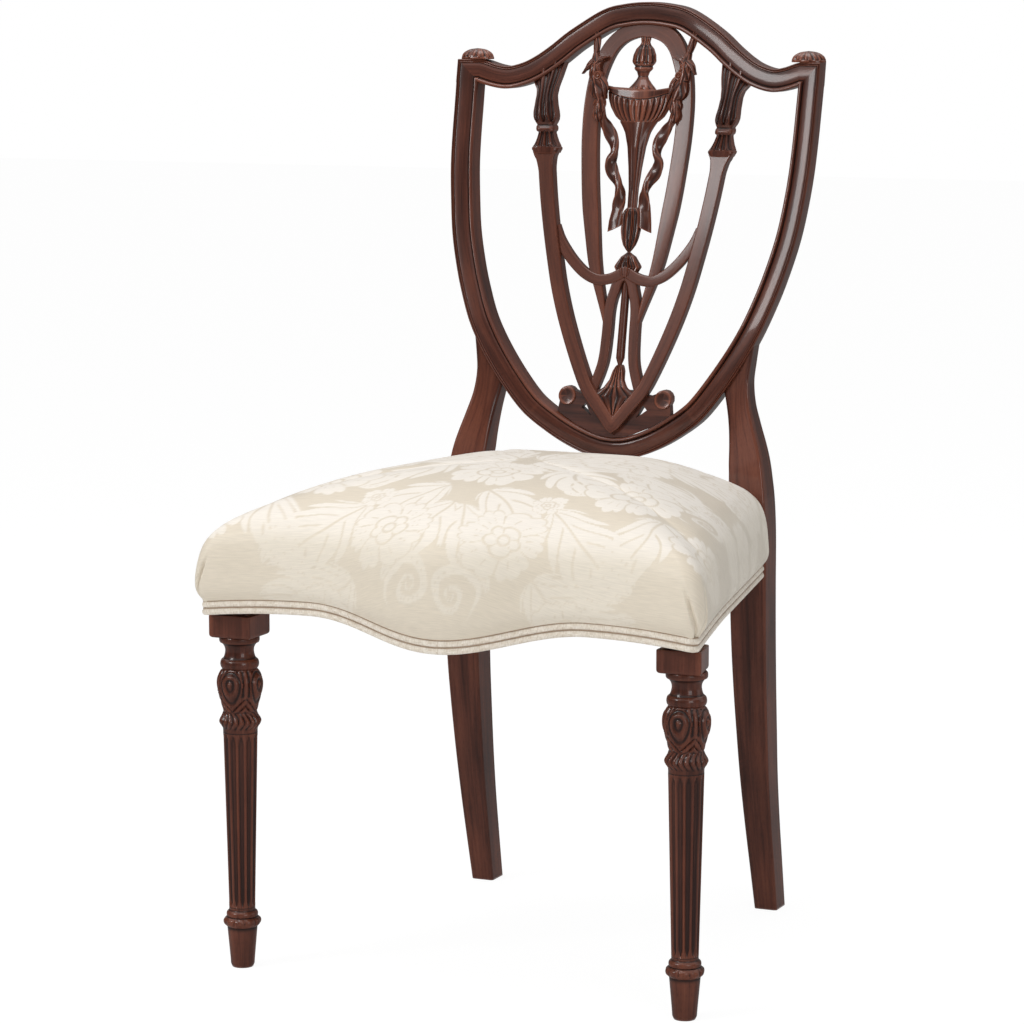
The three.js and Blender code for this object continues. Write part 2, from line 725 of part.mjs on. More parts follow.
const ribShares = [
  [0, 0.0266], [0.07, 0.0635], [0.162, 0.111], [0.2115, 0.148], [0.285, 0.2194], [0.35, 0.291],
  [0.403, 0.3626], [0.445, 0.4365], [0.481, 0.508], [0.5126, 0.581], [0.538, 0.6536], [0.549, 0.688],
];
const mitreWidth = 15.3;
const capitalCentreShares = [[0.688, 0.549], [0.746, 0.56], [0.811, 0.578], [0.87, 0.585], [0.94, 0.585]];
// Rows of [height share in the shield, half width as a share of the abacus, bulge share]
const capitalShares = [
  [0.688, 1, 0.05], [0.697, 1, 0.05], [0.7, 0.9, 0], [0.727, 0.7, -0.05], [0.735, 0.64, -0.06],
  [0.739, 0.75, 0], [0.75, 0.76, 0], [0.754, 0.66, -0.06], [0.772, 0.89, 0.06], [0.795, 0.88, 0.06],
  [0.82, 0.86, 0], [0.842, 0.99, -0.04], [0.86, 1.3, -0.06], [0.93, 1.5, -0.06],
];
const neckFlareShare = 0.94;
const ribSteps = 18;

function ribWidthAt(share) {
  if (share < 0.02) return mitreWidth;
  const slim = THREE.MathUtils.lerp(ribWidth, ribWidth * 1.16, share);
  return share > neckFlareShare ? THREE.MathUtils.lerp(slim, capitalWidth, (share - neckFlareShare) / (1 - neckFlareShare)) : slim;
}

function outerRib() {
  const curve = backCurve(ribShares);
  curve.points[0].x = jointGap / 2;
  const shaft = barAlong(curve, {
    steps: ribSteps,
    sectionAt: (share) => plainSection(ribWidthAt(share), 0, ribDepth, 1),
    face: splatFace,
    firstAcross: new THREE.Vector2(0, 1),
    lastAcross: new THREE.Vector2(-1, 0),
  });
  const outline = plainSection(2, -1, 2, 0.6);
  const rings = capitalShares.map(([up, out, bulge]) => {
    const z = shieldSill + up * shieldRise;
    const centre = smoothAt(capitalCentreShares, up) * shieldHalfWidth;
    return outline.map(([u, v]) => {
      const x = centre + u * out * capitalWidth / 2;
      return new THREE.Vector3(x, splatFace(x, z) + ribDepth * (1 / 2 + v * (1 / 2 + bulge)), z);
    });
  });
  const capital = loft(rings);
  return cutFrom(joined(shaft, capital), crestRail(frameRoom), shoeBlock(jointGap));
}

// Hoop

const hoopShares = [
  [0.1, 0.27], [0.114, 0.294], [0.137, 0.33], [0.163, 0.366], [0.187, 0.402],
  [0.2055, 0.4365], [0.2335, 0.509], [0.259, 0.582], [0.2775, 0.656], [0.29, 0.7275], [0.291, 0.801],
  [0.275, 0.866], [0.2445, 0.91], [0.198, 0.949], [0.121, 0.977], [0, 0.9896],
];

const hoopSteps = 36;
const hoopFootWidth = 11;
const hoopTaperShare = 0.16;

// The whole hoop before its joints are cut, or with growth the room it takes up
function hoopBlank(growth) {
  const half = hoopShares.map(backPlace);
  const left = half.slice(0, -1).reverse().map((point) => new THREE.Vector2(-point.x, point.y));
  const widthAt = (share) => {
    const taper = Math.min(Math.min(share, 1 - share) / hoopTaperShare, 1);
    return THREE.MathUtils.lerp(hoopFootWidth, hoopWidth, taper) + 2 * growth;
  };
  return barAlong(new THREE.SplineCurve([...half, ...left]), {
    steps: hoopSteps,
    sectionAt: (share) => plainSection(widthAt(share), hoopSetback - growth, hoopDepth + 2 * growth, 0.8),
    face: splatFace,
  });
}

const hoop = () => cutFrom(
  hoopBlank(0), crestRail(frameRoom), ...doubled(lyreRib(jointGap)), ...doubled(festoon(jointGap)),
);

// Lyre, festoon and rod

const lyreShares = [
  [0.0412, 0.379], [0.0593, 0.351], [0.0753, 0.328], [0.0835, 0.298], [0.0852, 0.247], [0.0923, 0.193],
  [0.111, 0.156], [0.158, 0.1],
];

function lyreRib(growth = 0) {
  const body = barAlong(backCurve(lyreShares), {
    steps: 12,
    sectionAt: () => plainSection(lyreWidth + 2 * growth, hoopSetback - growth, hoopDepth + 2 * growth, 0.8),
    face: splatFace,
  });
  return growth > 0 ? body : cutFrom(body, ribShaft(jointGap), festoon(jointGap), shoeBlock(jointGap));
}

// The rib's plain shaft alone, grown for cutting what meets it
function ribShaft(growth) {
  const curve = backCurve(ribShares);
  return barAlong(curve, {
    steps: ribSteps,
    sectionAt: (share) => plainSection(ribWidthAt(share) + 2 * growth, -2 * cutOverrun, 5 * cutOverrun, 0.8),
    face: splatFace,
    firstAcross: new THREE.Vector2(0, 1),
  });
}

const festoonShares = [
  [0.456, 0.506], [0.423, 0.4757], [0.3736, 0.4457], [0.3187, 0.419], [0.2527, 0.395], [0.1868, 0.3815],
  [0.1319, 0.3794], [0.0714, 0.3857], [0, 0.402],
];

function festoon(growth = 0) {
  const curve = backCurve(festoonShares);
  curve.points.at(-1).x = growth > 0 ? -growth : jointGap / 2;
  const body = barAlong(curve, {
    steps: 12,
    sectionAt: () => plainSection(
      festoonWidth + 2 * growth, festoonSetback - growth, festoonDepth + 2 * growth, 0.8,
    ),
    face: splatFace,
    lastAcross: new THREE.Vector2(0, -1),
  });
  return growth > 0 ? body : cutFrom(body, ribShaft(jointGap));
}

const rodFootShare = 0.176;
const rodHeadShare = 0.372;

function centreRod() {
  const [foot, head] = [rodFootShare, rodHeadShare].map((share) => shieldSill + share * shieldRise);
  const neck = rodRadius / 2;
  const rows = [
    [foot, neck, neck, coreSetback],
    [foot + neck, neck * 1.2, neck * 1.2, coreSetback],
    [foot + 2 * neck, rodRadius, rodRadius, coreSetback],
    [head, rodRadius * 0.9, rodRadius, coreSetback],
  ];
  const body = turnedOnSplat(rows, 10);
  return cutFrom(body, festoon(jointGap), mirrored(festoon(jointGap)), lyreRib(jointGap), mirrored(lyreRib(jointGap)));
}

// Fan leaf that fills the foot of the V
const fanShares = [
  [0.174, 0.25], [0.17, 0.4], [0.16, 0.62], [0.14, 0.8], [0.121, 1.3], [0.107, 2.2], [0.1, 2.7], [0.045, 0.2],
];
const fanNeck = 10.5;

function fanLeaf() {
  const outline = plainSection(2, -1, 2, 0.5);
  const rings = fanShares.map(([up, out], row) => {
    const z = shieldSill + up * shieldRise;
    const lift = THREE.MathUtils.clamp(row / 5, 0, 1);
    const front = THREE.MathUtils.lerp(coreSetback - rodRadius, 1, lift);
    const back = THREE.MathUtils.lerp(coreSetback + rodRadius, shoeSetback, lift);
    return outline.map(([u, v]) => {
      const x = u * out * fanNeck;
      return new THREE.Vector3(x, splatFace(x, z) + (front + back) / 2 + v * (back - front) / 2, z);
    });
  });
  return cutFrom(
    loft(rings), ribShaft(jointGap), mirrored(ribShaft(jointGap)), shoeBlock(jointGap),
    lyreRib(jointGap), mirrored(lyreRib(jointGap)),
  );
}

// Shoe with its two scrolls, under and behind the V

const scrollCentreShares = [0.301, 0.0972];
const armShares = [[0.245, 0.109], [0.215, 0.104], [0.185, 0.107], [0.1, 0.115]];
const gapShares = [[0.205, 0.07], [0.18, 0.081], [0.14, 0.05]];

// The shoe is a flat board
const shoeFace = (x, z) => splatFace(0, z);

function shoeOutline() {
  const frame = backCurve(shieldInnerShares);
  const sill = Array.from({ length: 9 }, (_, i) => frame.getPointAt(0.148 * i / 8));
  const bottom = sill.map(({ x, y }) => [x, y + jointGap * (1 + x / shieldHalfWidth)]);
  const centre = backPlace(scrollCentreShares);
  const scroll = Array.from({ length: 8 }, (_, i) => {
    const angle = THREE.MathUtils.degToRad(-35 + 180 * i / 7);
    return [centre.x + scrollRadius * Math.cos(angle), centre.y + scrollRadius * Math.sin(angle)];
  });
  const arm = armShares.slice(1).map(backPlace).map(({ x, y }) => [x, y]);
  const right = [...bottom, ...scroll, ...arm];
  const left = right.slice(1).reverse().map(([x, z]) => [-x, z]);
  return [...right, ...left];
}

function shoeBlock(growth) {
  return plateOn(shoeOutline(), [], {
    front: shoeSetback - growth,
    depth: shoeDepth + 2 * growth,
    face: shoeFace,
  });
}

function splatShoe() {
  const hole = gapShares.map(backPlace).map(({ x, y }) => [x, y]);
  const other = hole.map(([x, z]) => [-x, z]).reverse();
  const shoe = plateOn(shoeOutline(), [hole, other], { front: shoeSetback, depth: shoeDepth, face: shoeFace });
  return cutFrom(shoe, shieldBottomRail(frameRoom));
}

// Urn: bowl, stem and lid

// Rows of [height share in the shield, half width as a share of the bowl's, crescent share]
const bowlShares = [
  [0.765, 0.5, 0], [0.775, 0.66, 0], [0.79, 0.82, 0.2], [0.81, 0.93, 0.5], [0.819, 0.97, 0.8],
  [0.8195, 1, 0.9], [0.839, 1, 1],
];
const crescentRise = 4.7;
const bowlFront = 0;
const bowlBulge = 7;

// The bowl as slices from its left end to its right one
function urnBowlBlank() {
  const slices = 12;
  const back = hoopSetback + hoopDepth;
  const rings = Array.from({ length: slices + 1 }, (_, i) => {
    const angle = Math.PI * i / slices;
    const [u, v] = [-Math.cos(angle), Math.sin(angle)];
    const sliceOf = (setbackAt) => bowlShares.map(([up, out, crescent]) => {
      const x = u * out * urnHalfWidth;
      const z = shieldSill + up * shieldRise + crescent * crescentRise * u * u;
      return new THREE.Vector3(x, splatFace(x, z) + setbackAt(out), z);
    });
    const front = sliceOf((out) => coreSetback - v * (coreSetback - bowlFront + bowlBulge * (out - 1)));
    return [...front, ...sliceOf(() => back).reverse()];
  });
  return loft(rings);
}

const urnBowl = () => cutFrom(urnBowlBlank(), hoopBlank(jointGap), ...doubled(leafBracket(jointGap)));

// Rows of [height share in the shield, half width as a share of the stem's]
const stemShares = [
  [0.552, 0.95], [0.6, 1], [0.651, 1.35], [0.702, 1.85], [0.736, 2.6], [0.75, 3.2], [0.764, 3.95],
];

function urnStem() {
  const rows = stemShares.map(([up, out]) => [
    shieldSill + up * shieldRise, out * stemHalfWidth, Math.min(out, 1.7) * stemHalfWidth, coreSetback,
  ]);
  rows.at(-1)[0] = shieldSill + bowlShares[0][0] * shieldRise - jointGap;
  return turnedOnSplat(rows, 12);
}

// Rows of [height share in the shield, half width as a share of the lid's]
const lidShares = [
  [0.8397, 1.25], [0.8465, 1.1], [0.855, 0.8], [0.866, 0.52], [0.873, 0.42], [0.884, 0.55], [0.893, 0.8],
  [0.898, 0.76], [0.903, 0.9], [0.91, 1], [0.925, 0.95], [0.94, 0.74], [0.948, 0.5], [0.956, 0.36],
  [0.963, 0.42], [0.972, 0.44],
];

function urnLid() {
  const rows = lidShares.map(([up, out]) => [
    shieldSill + up * shieldRise, out * lidRadius, Math.min(out, 1) * lidRadius * 0.62, coreSetback,
  ]);
  return cutFrom(
    turnedOnSplat(rows, 16), urnBowlBlank().translate(0, 0, jointGap),
    urnBowlBlank().translate(0, jointGap, jointGap), hoopBlank(jointGap),
  );
}

// Leaf bracket between the crest and the bowl
const bracketShares = [
  [0.28, 0.985], [0.335, 0.985], [0.3215, 0.928], [0.33, 0.9], [0.352, 0.881], [0.33, 0.873],
  [0.313, 0.861], [0.297, 0.829], [0.275, 0.801], [0.242, 0.773], [0.215, 0.79], [0.2, 0.82], [0.22, 0.846],
  [0.209, 0.866], [0.23, 0.882], [0.22, 0.9], [0.203, 0.9205], [0.253, 0.922], [0.286, 0.935],
];

function leafBracket(growth = 0) {
  const outline = bracketShares.map(backPlace).map(({ x, y }) => [x, y]);
  const plate = plateOn(outline, [], {
    front: hoopSetback - jointGap - bracketDepth - growth,
    depth: bracketDepth + 2 * growth,
    face: splatFace,
  });
  return growth > 0 ? plate : cutFrom(plate, crestRail(frameRoom));
}

// Twisted ribbons from the brackets down to their cuffs
const ribbonShares = [
  [0.232, 0.771], [0.2, 0.747], [0.168, 0.728], [0.146, 0.693], [0.148, 0.655], [0.119, 0.62], [0.0945, 0.594],
  [0.086, 0.565], [0.086, 0.535], [0.093, 0.502],
];
const ribbonTwists = 1.5;

function ribbon() {
  const curve = backCurve(ribbonShares);
  const thick = ribbonWidth * 0.45;
  return cutFrom(barAlong(curve, {
    steps: 18,
    sectionAt: (share) => {
      const swell = share > 0.85 ? 1 + (share - 0.85) * 2 : 1;
      const turn = Math.PI * ribbonTwists * Math.min(share / 0.85, 1);
      return plainSection(ribbonWidth * swell, -thick, 2 * thick, thick / 2).map(([u, w]) => {
        const [flatU, flatW] = [u * (0.8 + 0.2 * Math.cos(2 * turn)), w * (0.8 - 0.2 * Math.cos(2 * turn))];
        return [flatU, flatW + coreSetback - 2];
      });
    },
    face: splatFace,
  }), hoopBlank(jointGap), stemCutter(), bowlCutter(), leafBracket(jointGap));
}

function stemCutter() {
  const rows = stemShares.map(([up, out]) => [
    shieldSill + up * shieldRise, out * stemHalfWidth + jointGap, Math.min(out, 1.7) * stemHalfWidth + jointGap,
    coreSetback,
  ]);
  return turnedOnSplat(rows, 12);
}

function bowlCutter() {
  const rows = bowlShares.map(([up, out]) => [
    shieldSill + up * shieldRise, out * urnHalfWidth + jointGap, 2 * coreSetback, coreSetback,
  ]);
  rows[0][0] -= jointGap;
  return turnedOnSplat(rows, 16);
}

// Bellflower drop under the stem, and the leaf bell over the festoon's meeting point
// Rows of [height share in the shield, half width as a share of the drop's]
const dropShares = [[0.447, 0.22], [0.452, 0.3], [0.464, 0.52], [0.48, 0.8], [0.5, 1.05], [0.53, 0.9], [0.5505, 0.75]];
const bellShares = [[0.39, 1.1], [0.4, 1.25], [0.413, 1.4], [0.425, 1.2], [0.436, 0.85], [0.443, 0.4], [0.4465, 0.2]];
const dropHalfWidth = 9.6;

function flowerOnSplat(shares, frontReach) {
  const rows = shares.map(([up, out]) => [
    shieldSill + up * shieldRise, out * dropHalfWidth, Math.min(out, frontReach) * dropHalfWidth, coreSetback,
  ]);
  return turnedOnSplat(rows, 14);
}

const bellflowerDrop = () => cutFrom(flowerOnSplat(dropShares, 0.7), ribbonCutter(), mirrored(ribbonCutter()));

function ribbonCutter() {
  return barAlong(backCurve(ribbonShares.slice(-4)), {
    steps: 8,
    sectionAt: () => plainSection(ribbonWidth * 1.3 + 2 * jointGap, -2 * ribbonWidth, 5 * ribbonWidth, 0.8),
    face: splatFace,
  });
}

const leafBell = () => cutFrom(
  flowerOnSplat(bellShares, 0.95), festoon(jointGap), mirrored(festoon(jointGap)),
);

// Seat board, pad and welts

function seatBoard() {
  const inset = railFace - jointGap;
  const plan = wholePlan(inset).filter(([, y]) => y < rearLegLine - boardThickness);
  const back = rearLegLine - 2 * jointGap;
  const outline = [...plan, [halfPlanSideX(back) + inset, back], [-halfPlanSideX(back) - inset, back]];
  return flatSlab(outline, railTop + jointGap, boardThickness);
}

function flatSlab(outline, base, thickness) {
  const shape = new THREE.Shape(outline.map(([x, y]) => new THREE.Vector2(x, y)));
  const slab = new THREE.ExtrudeGeometry(shape, { depth: thickness, bevelEnabled: false });
  return slab.translate(0, 0, base);
}

// Rows of [height share above the welt, outward share of the side bulge]
const padSideShares = [[0, -0.75], [0.12, 0.3], [0.32, 1], [0.56, 0.9]];
// Rows of [inward share of the plan, height share between the side's top and the crown]
const padCrownShares = [
  [0.004, 0.06], [0.016, 0.22], [0.04, 0.37], [0.085, 0.5], [0.16, 0.62], [0.28, 0.75], [0.44, 0.87], [0.64, 0.95],
  [0.85, 0.992],
];
const padSideDrop = 3;
const padSideTop = railTop - padSideDrop;
const padCornerDrop = 11;
const padCentreLine = rearLegLine / 2;

// The pad's plan: the welt's line with the back edge behind the rear legs
const padRear = backRailRear + 2 * jointGap + skirtThickness;

function padPlan(distance, back = padRear) {
  const front = wholePlan(distance);
  const [endX] = front.at(-1);
  const backSteps = 8;
  const rear = [];
  for (let i = 0; i <= backSteps; i += 1) {
    rear.push([endX - sideSlope * rearLegDepth - 2 * (endX - sideSlope * rearLegDepth) * i / backSteps, back]);
  }
  return [...front, ...rear];
}

function seatPad() {
  const welt = 4 * weltRadius + 2 * jointGap;
  const base = padPlan(0);
  const cornerShare = base.map(([x, y]) => {
    const [across, along] = [Math.abs(x) / seatHalfWidth, Math.abs(y - padCentreLine) / padCentreLine];
    return Math.min(across, 1) ** 6 * Math.min(along, 1) ** 6;
  });
  const rings = padSideShares.map(([up, out]) => padPlan(out * sideBulge).map(([x, y]) => {
    const foot = weltHeight(x, y) + welt;
    return new THREE.Vector3(x, y, foot + up * (padSideTop + skirtThickness - foot));
  }));
  for (const [inward, up] of padCrownShares) {
    rings.push(padPlan(sideBulge * 0.8).map(([x, y], i) => {
      const z = THREE.MathUtils.lerp(padSideTop, crownHeight, up) - padCornerDrop * cornerShare[i] * (1 - inward);
      return new THREE.Vector3(x * (1 - inward), padCentreLine + (y - padCentreLine) * (1 - inward), z);
    }));
  }
  const pad = loft(rings);
  const cavityPlan = padPlan(railFace + 2 * jointGap, backRailRear + jointGap);
  const cavityTop = railTop + boardThickness + 2 * jointGap;
  const cavity = loft(
    [seatRailHeight - 2 * weltBowDrop, cavityTop].map((z) => cavityPlan.map(([x, y]) => new THREE.Vector3(x, y, z))),
  );
  const legSpace = boxBetween(
    [rearLegCentre, rearLegLine - 3 * jointGap, 0], [2 * seatHalfWidth, 2 * rearLegLine, 2 * crownHeight],
  );
  return cutFrom(pad, cavity, ...doubled(legSpace), ...doubled(rearLegBlank(2 * jointGap)));
}

const weltSteps = 36;
const weltSides = 6;

// A cord laid along a plan line, its height following the welt
function cordAlong(plan, lift) {
  const points = plan.map(([x, y]) => new THREE.Vector3(x, y, weltHeight(x, y) + lift));
  const curve = new THREE.CatmullRomCurve3(points);
  const section = new THREE.Shape(Array.from({ length: weltSides }, (_, i) => {
    const angle = 2 * Math.PI * (i + 1 / 2) / weltSides;
    return new THREE.Vector2(weltRadius * Math.cos(angle), weltRadius * Math.sin(angle));
  }));
  return new THREE.ExtrudeGeometry(section, { steps: weltSteps, bevelEnabled: false, extrudePath: curve });
}

const seatWelt = (lift) => cordAlong(wholePlan(-weltRadius), lift);

function backWelts() {
  const reach = rearLegInner - cutOverrun / 2 - 2 * jointGap;
  const y = backRailRear + jointGap + weltRadius;
  return [weltRadius, 3 * weltRadius + jointGap].map((lift) => {
    const z = seatRailHeight + lift;
    return pegBetween(new THREE.Vector3(-reach, y, z), new THREE.Vector3(reach, y, z), weltRadius, 8);
  });
}

function dustCover() {
  const side = (y) => sideRailOuter(y) - railThickness / 4;
  const front = railBackLine + cutOverrun + blockDepth / 2;
  const back = rearLegLine - 2 * jointGap;
  const base = railBase - jointGap - dustCoverThickness;
  const outline = [[-side(front), front], [side(front), front], [side(back), back], [-side(back), back]];
  return flatSlab(outline, base, dustCoverThickness);
}

// Corner blocks and their screws

const sideRailInner = (y) => sideRailOuter(y) - railThickness - jointGap;
const cornerBase = (railBase + railTop - cornerBlockHeight) / 2;

function frontCornerOutline() {
  const y = railBackLine + jointGap;
  const rear = sideRailRun.frontY + cornerBlockReach * 0.8;
  const blockInside = blockInnerX - jointGap;
  return [
    [blockInside - cornerBlockReach, y], [blockInside, y], [blockInside, sideRailRun.frontY],
    [sideRailInner(sideRailRun.frontY), sideRailRun.frontY], [sideRailInner(rear), rear],
  ];
}

function rearCornerOutline() {
  const y = backRailRear - railThickness - jointGap;
  const legFront = rearLegLine - 2 * jointGap;
  const inside = rearLegInner - cutOverrun;
  const front = legFront - cornerBlockReach * 0.8;
  return [
    [sideRailInner(front), front], [sideRailInner(legFront), legFront], [inside, legFront], [inside, y],
    [inside - cornerBlockReach, y],
  ];
}

// The two screws of one corner block, from its long free side
function cornerScrews([head, tail], growth) {
  const along = new THREE.Vector2(tail[0] - head[0], tail[1] - head[1]);
  const inward = new THREE.Vector2(-along.y, along.x).normalize();
  const z = cornerBase + cornerBlockHeight / 2;
  return [0.3, 0.7].map((share) => {
    const start = new THREE.Vector3(head[0] + along.x * share, head[1] + along.y * share, z);
    const end = start.clone().add(new THREE.Vector3(inward.x, inward.y, 0).multiplyScalar(screwLength + growth));
    const direction = end.clone().sub(start).normalize();
    const outside = start.clone().sub(direction.clone().multiplyScalar(growth > 0 ? cutOverrun : 0));
    const seat = start.clone().add(direction.clone().multiplyScalar(screwHeadRadius / 2 + growth));
    const shank = pegBetween(start, end, screwRadius + growth, 8);
    return joined(shank, pegBetween(outside, seat, screwHeadRadius + growth, 8));
  });
}

function cornerBlocks() {
  const frontOutline = frontCornerOutline();
  const rearOutline = rearCornerOutline();
  const freeSides = {
    front: [frontOutline.at(-1), frontOutline[0]],
    rear: [rearOutline.at(-1), rearOutline[0]],
  };
  const blockOf = (outline, ends) => cutFrom(
    flatSlab(outline, cornerBase, cornerBlockHeight), ...cornerScrews(ends, jointGap),
  );
  const front = blockOf(frontOutline, freeSides.front);
  const rear = blockOf(rearOutline, freeSides.rear);
  const screws = [...cornerScrews(freeSides.front, 0), ...cornerScrews(freeSides.rear, 0)];
  const cutters = [...cornerScrews(freeSides.front, jointGap), ...cornerScrews(freeSides.rear, jointGap)];
  return { front, rear, screws, cutters };
}

// The chair

const chair = new THREE.Group();

function add(name, geometry, material) {
  const mesh = new THREE.Mesh(geometry, material);
  mesh.name = name;
  chair.add(mesh);
}

function addPair(name, right, material) {
  add(`${name}_right`, right, material());
  add(`${name}_left`, mirrored(right), material());
}

const blocks = cornerBlocks();
const screwCutters = [...blocks.cutters, ...blocks.cutters.map(mirrored)];
const dowelCutters = frameDowels(jointGap);

addPair('front_leg', cutFrom(frontLeg(), frontTenon(1, jointGap), sideTenon(jointGap)), mahogany);
addPair('rear_leg', cutFrom(rearLeg(), sideTenon(jointGap), backTenon(jointGap), dowelCutters.leg), mahogany);
add('front_seat_rail', cutFrom(frontRail(), frontLeg(), mirrored(frontLeg()), ...screwCutters), hiddenBeech());
add('back_seat_rail', cutFrom(backRail(), ...screwCutters), hiddenBeech());
addPair('side_seat_rail', cutFrom(sideRail(), ...blocks.cutters), hiddenBeech);
addPair('front_corner_block', blocks.front, hiddenBeech);
addPair('rear_corner_block', blocks.rear, hiddenBeech);
blocks.screws.forEach((screw, i) => addPair(`corner_screw_${i + 1}`, screw, screwSteel));
add('seat_board', seatBoard(), hiddenBeech());
add('seat_pad', seatPad(), damask());
add('welt_lower', seatWelt(weltRadius), weltCloth());
add('welt_upper', seatWelt(3 * weltRadius + jointGap), weltCloth());
const [backWeltLower, backWeltUpper] = backWelts();
add('back_welt_lower', backWeltLower, weltCloth());
add('back_welt_upper', backWeltUpper, weltCloth());
add('dust_cover', dustCover(), blackCambric());

addPair('shield_stile', cutFrom(shieldStileBlank(mouldedSection), ...Object.values(dowelCutters)), mahogany);
add('shield_bottom_rail', cutFrom(shieldBottomRail(mouldedSection), ...doubled(dowelCutters.foot)), mahogany());
add('crest_rail', cutFrom(crestRail(mouldedSection), ...doubled(dowelCutters.top)), mahogany());
const dowels = frameDowels(0);
addPair('crest_dowel', dowels.top, hiddenBeech);
addPair('shield_foot_dowel', dowels.foot, hiddenBeech);
addPair('rear_leg_dowel', dowels.leg, hiddenBeech);
addPair('ear_rosette', earRosette(), carvedMahogany);

addPair('outer_rib', outerRib(), mahogany);
add('hoop', hoop(), mahogany());
addPair('lyre_rib', lyreRib(), mahogany);
addPair('festoon', festoon(), mahogany);
add('centre_rod', centreRod(), mahogany());
add('fan_leaf', fanLeaf(), carvedMahogany());
add('splat_shoe', splatShoe(), mahogany());
add('urn_bowl', urnBowl(), carvedMahogany());
add('urn_stem', urnStem(), mahogany());
add('urn_lid', urnLid(), carvedMahogany());
addPair('leaf_bracket', leafBracket(), carvedMahogany);
addPair('ribbon', ribbon(), carvedMahogany);
add('bellflower_drop', bellflowerDrop(), carvedMahogany());
add('leaf_bell', leafBell(), carvedMahogany());

// The origin lies on the floor under the middle of the chair
const reach = new THREE.Box3().setFromObject(chair);
chair.position.y = -(reach.min.y + reach.max.y) / 2;

export default chair;
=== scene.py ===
from math import pi, radians

import bmesh
import bpy
import numpy as np
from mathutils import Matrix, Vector


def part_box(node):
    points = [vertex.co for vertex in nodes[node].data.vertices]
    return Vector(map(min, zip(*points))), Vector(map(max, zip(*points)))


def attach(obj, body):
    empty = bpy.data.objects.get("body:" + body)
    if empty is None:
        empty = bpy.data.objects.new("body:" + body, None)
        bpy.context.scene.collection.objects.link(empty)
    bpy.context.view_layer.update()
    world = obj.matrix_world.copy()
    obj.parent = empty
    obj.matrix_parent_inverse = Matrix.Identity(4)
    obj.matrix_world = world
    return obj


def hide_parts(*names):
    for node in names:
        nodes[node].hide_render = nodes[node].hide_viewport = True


# The looks of a shield back side chair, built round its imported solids.
# Lengths are millimetres in the drawing's own lines; each mesh is turned into metres as it is finished.
# Left and right are as seen from the front. Paired pieces are drawn for the right side and mirrored.

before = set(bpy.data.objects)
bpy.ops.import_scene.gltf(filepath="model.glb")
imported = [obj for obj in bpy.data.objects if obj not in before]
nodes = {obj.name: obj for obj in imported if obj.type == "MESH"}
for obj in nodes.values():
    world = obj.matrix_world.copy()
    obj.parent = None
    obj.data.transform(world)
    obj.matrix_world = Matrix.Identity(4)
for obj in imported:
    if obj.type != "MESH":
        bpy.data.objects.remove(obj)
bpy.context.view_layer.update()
mm = 0.001
frontLegLine = 3
legLow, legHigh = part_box("front_leg_right")
backShift = (legLow[1] + legHigh[1]) / 2 / mm - frontLegLine   # from the drawing's lines to the frame's
print("frame loaded:", len(nodes), "nodes")


# Camera and light

view = {"place": (1483.2, -3231.5, 989.6), "tilt": 8.22, "turn": 23.78, "lens": 131.08}
lamps = {
    "softbox": {"from": (-1900, -2190, 2250), "size": 1050, "watts": 44},
    "fill": {"from": (2200, -1900, 1100), "size": 1200, "watts": 18},
    "top": {"from": (-300, 100, 2900), "size": 1500, "watts": 31},
}
lampTarget = (0, 200, 480)


def placeOf(x, y, z):
    # a drawn place in the frame, in metres
    return (x * mm, (y + backShift) * mm, z * mm)


def makeCamera():
    camera = bpy.data.objects.new("camera", bpy.data.cameras.new("camera"))
    camera.location = placeOf(*view["place"])
    camera.rotation_euler = (radians(90 - view["tilt"]), 0, radians(view["turn"]))
    camera.data.lens = view["lens"]
    camera.data.sensor_width = 36
    bpy.context.scene.collection.objects.link(camera)
    bpy.context.scene.camera = camera


def makeLamps():
    for name, lamp in lamps.items():
        light = bpy.data.lights.new(name, "AREA")
        light.shape = "SQUARE"
        light.size = lamp["size"] * mm
        light.energy = lamp["watts"]
        holder = bpy.data.objects.new(name, light)
        holder.location = placeOf(*lamp["from"])
        aim = Vector(placeOf(*lampTarget)) - holder.location
        holder.rotation_euler = aim.to_track_quat("-Z", "Y").to_euler()
        bpy.context.scene.collection.objects.link(holder)


# Node helpers

def addNode(tree, kind, inputs=None, **settings):
    # inputs that are sockets are linked, and others are set
    made = tree.nodes.new("ShaderNode" + kind)
    for key, value in settings.items():
        setattr(made, key, value)
    for key, value in (inputs or {}).items():
        if isinstance(value, bpy.types.NodeSocket):
            tree.links.new(value, made.inputs[key])
        else:
            made.inputs[key].default_value = value
    return made


def calc(tree, operation, *values):
    return addNode(tree, "Math", dict(enumerate(values)), operation=operation).outputs[0]


def blendColour(tree, share, one, other, how="MIX"):
    made = addNode(tree, "Mix", {0: share, 6: one, 7: other}, data_type="RGBA", blend_type=how)
    return made.outputs[2]


def stretched(tree, vector, scale):
    return addNode(tree, "Mapping", {"Vector": vector, "Scale": scale}).outputs[0]


def noiseOf(tree, vector, scale, detail, **more):
    # noise in a vector, stretched where scale has three values
    if isinstance(scale, tuple):
        vector, scale = stretched(tree, vector, scale), 1
    return addNode(tree, "TexNoise", {"Vector": vector, "Scale": scale, "Detail": detail, **more}).outputs[0]


def spanned(tree, value, low, high, start=0.0, end=1.0):
    # a value's way from low to high, told as start to end
    return addNode(tree, "MapRange", {0: value, 1: low, 2: high, 3: start, 4: end}).outputs[0]


def ramp(tree, share, stops):
    made = addNode(tree, "ValToRGB", {0: share})
    elements = made.color_ramp.elements
    for place, _ in stops[2:]:
        elements.new(place)
    for element, (place, colour) in zip(elements, stops):
        element.position = place
        element.color = (*colour, 1)
    return made.outputs[0]


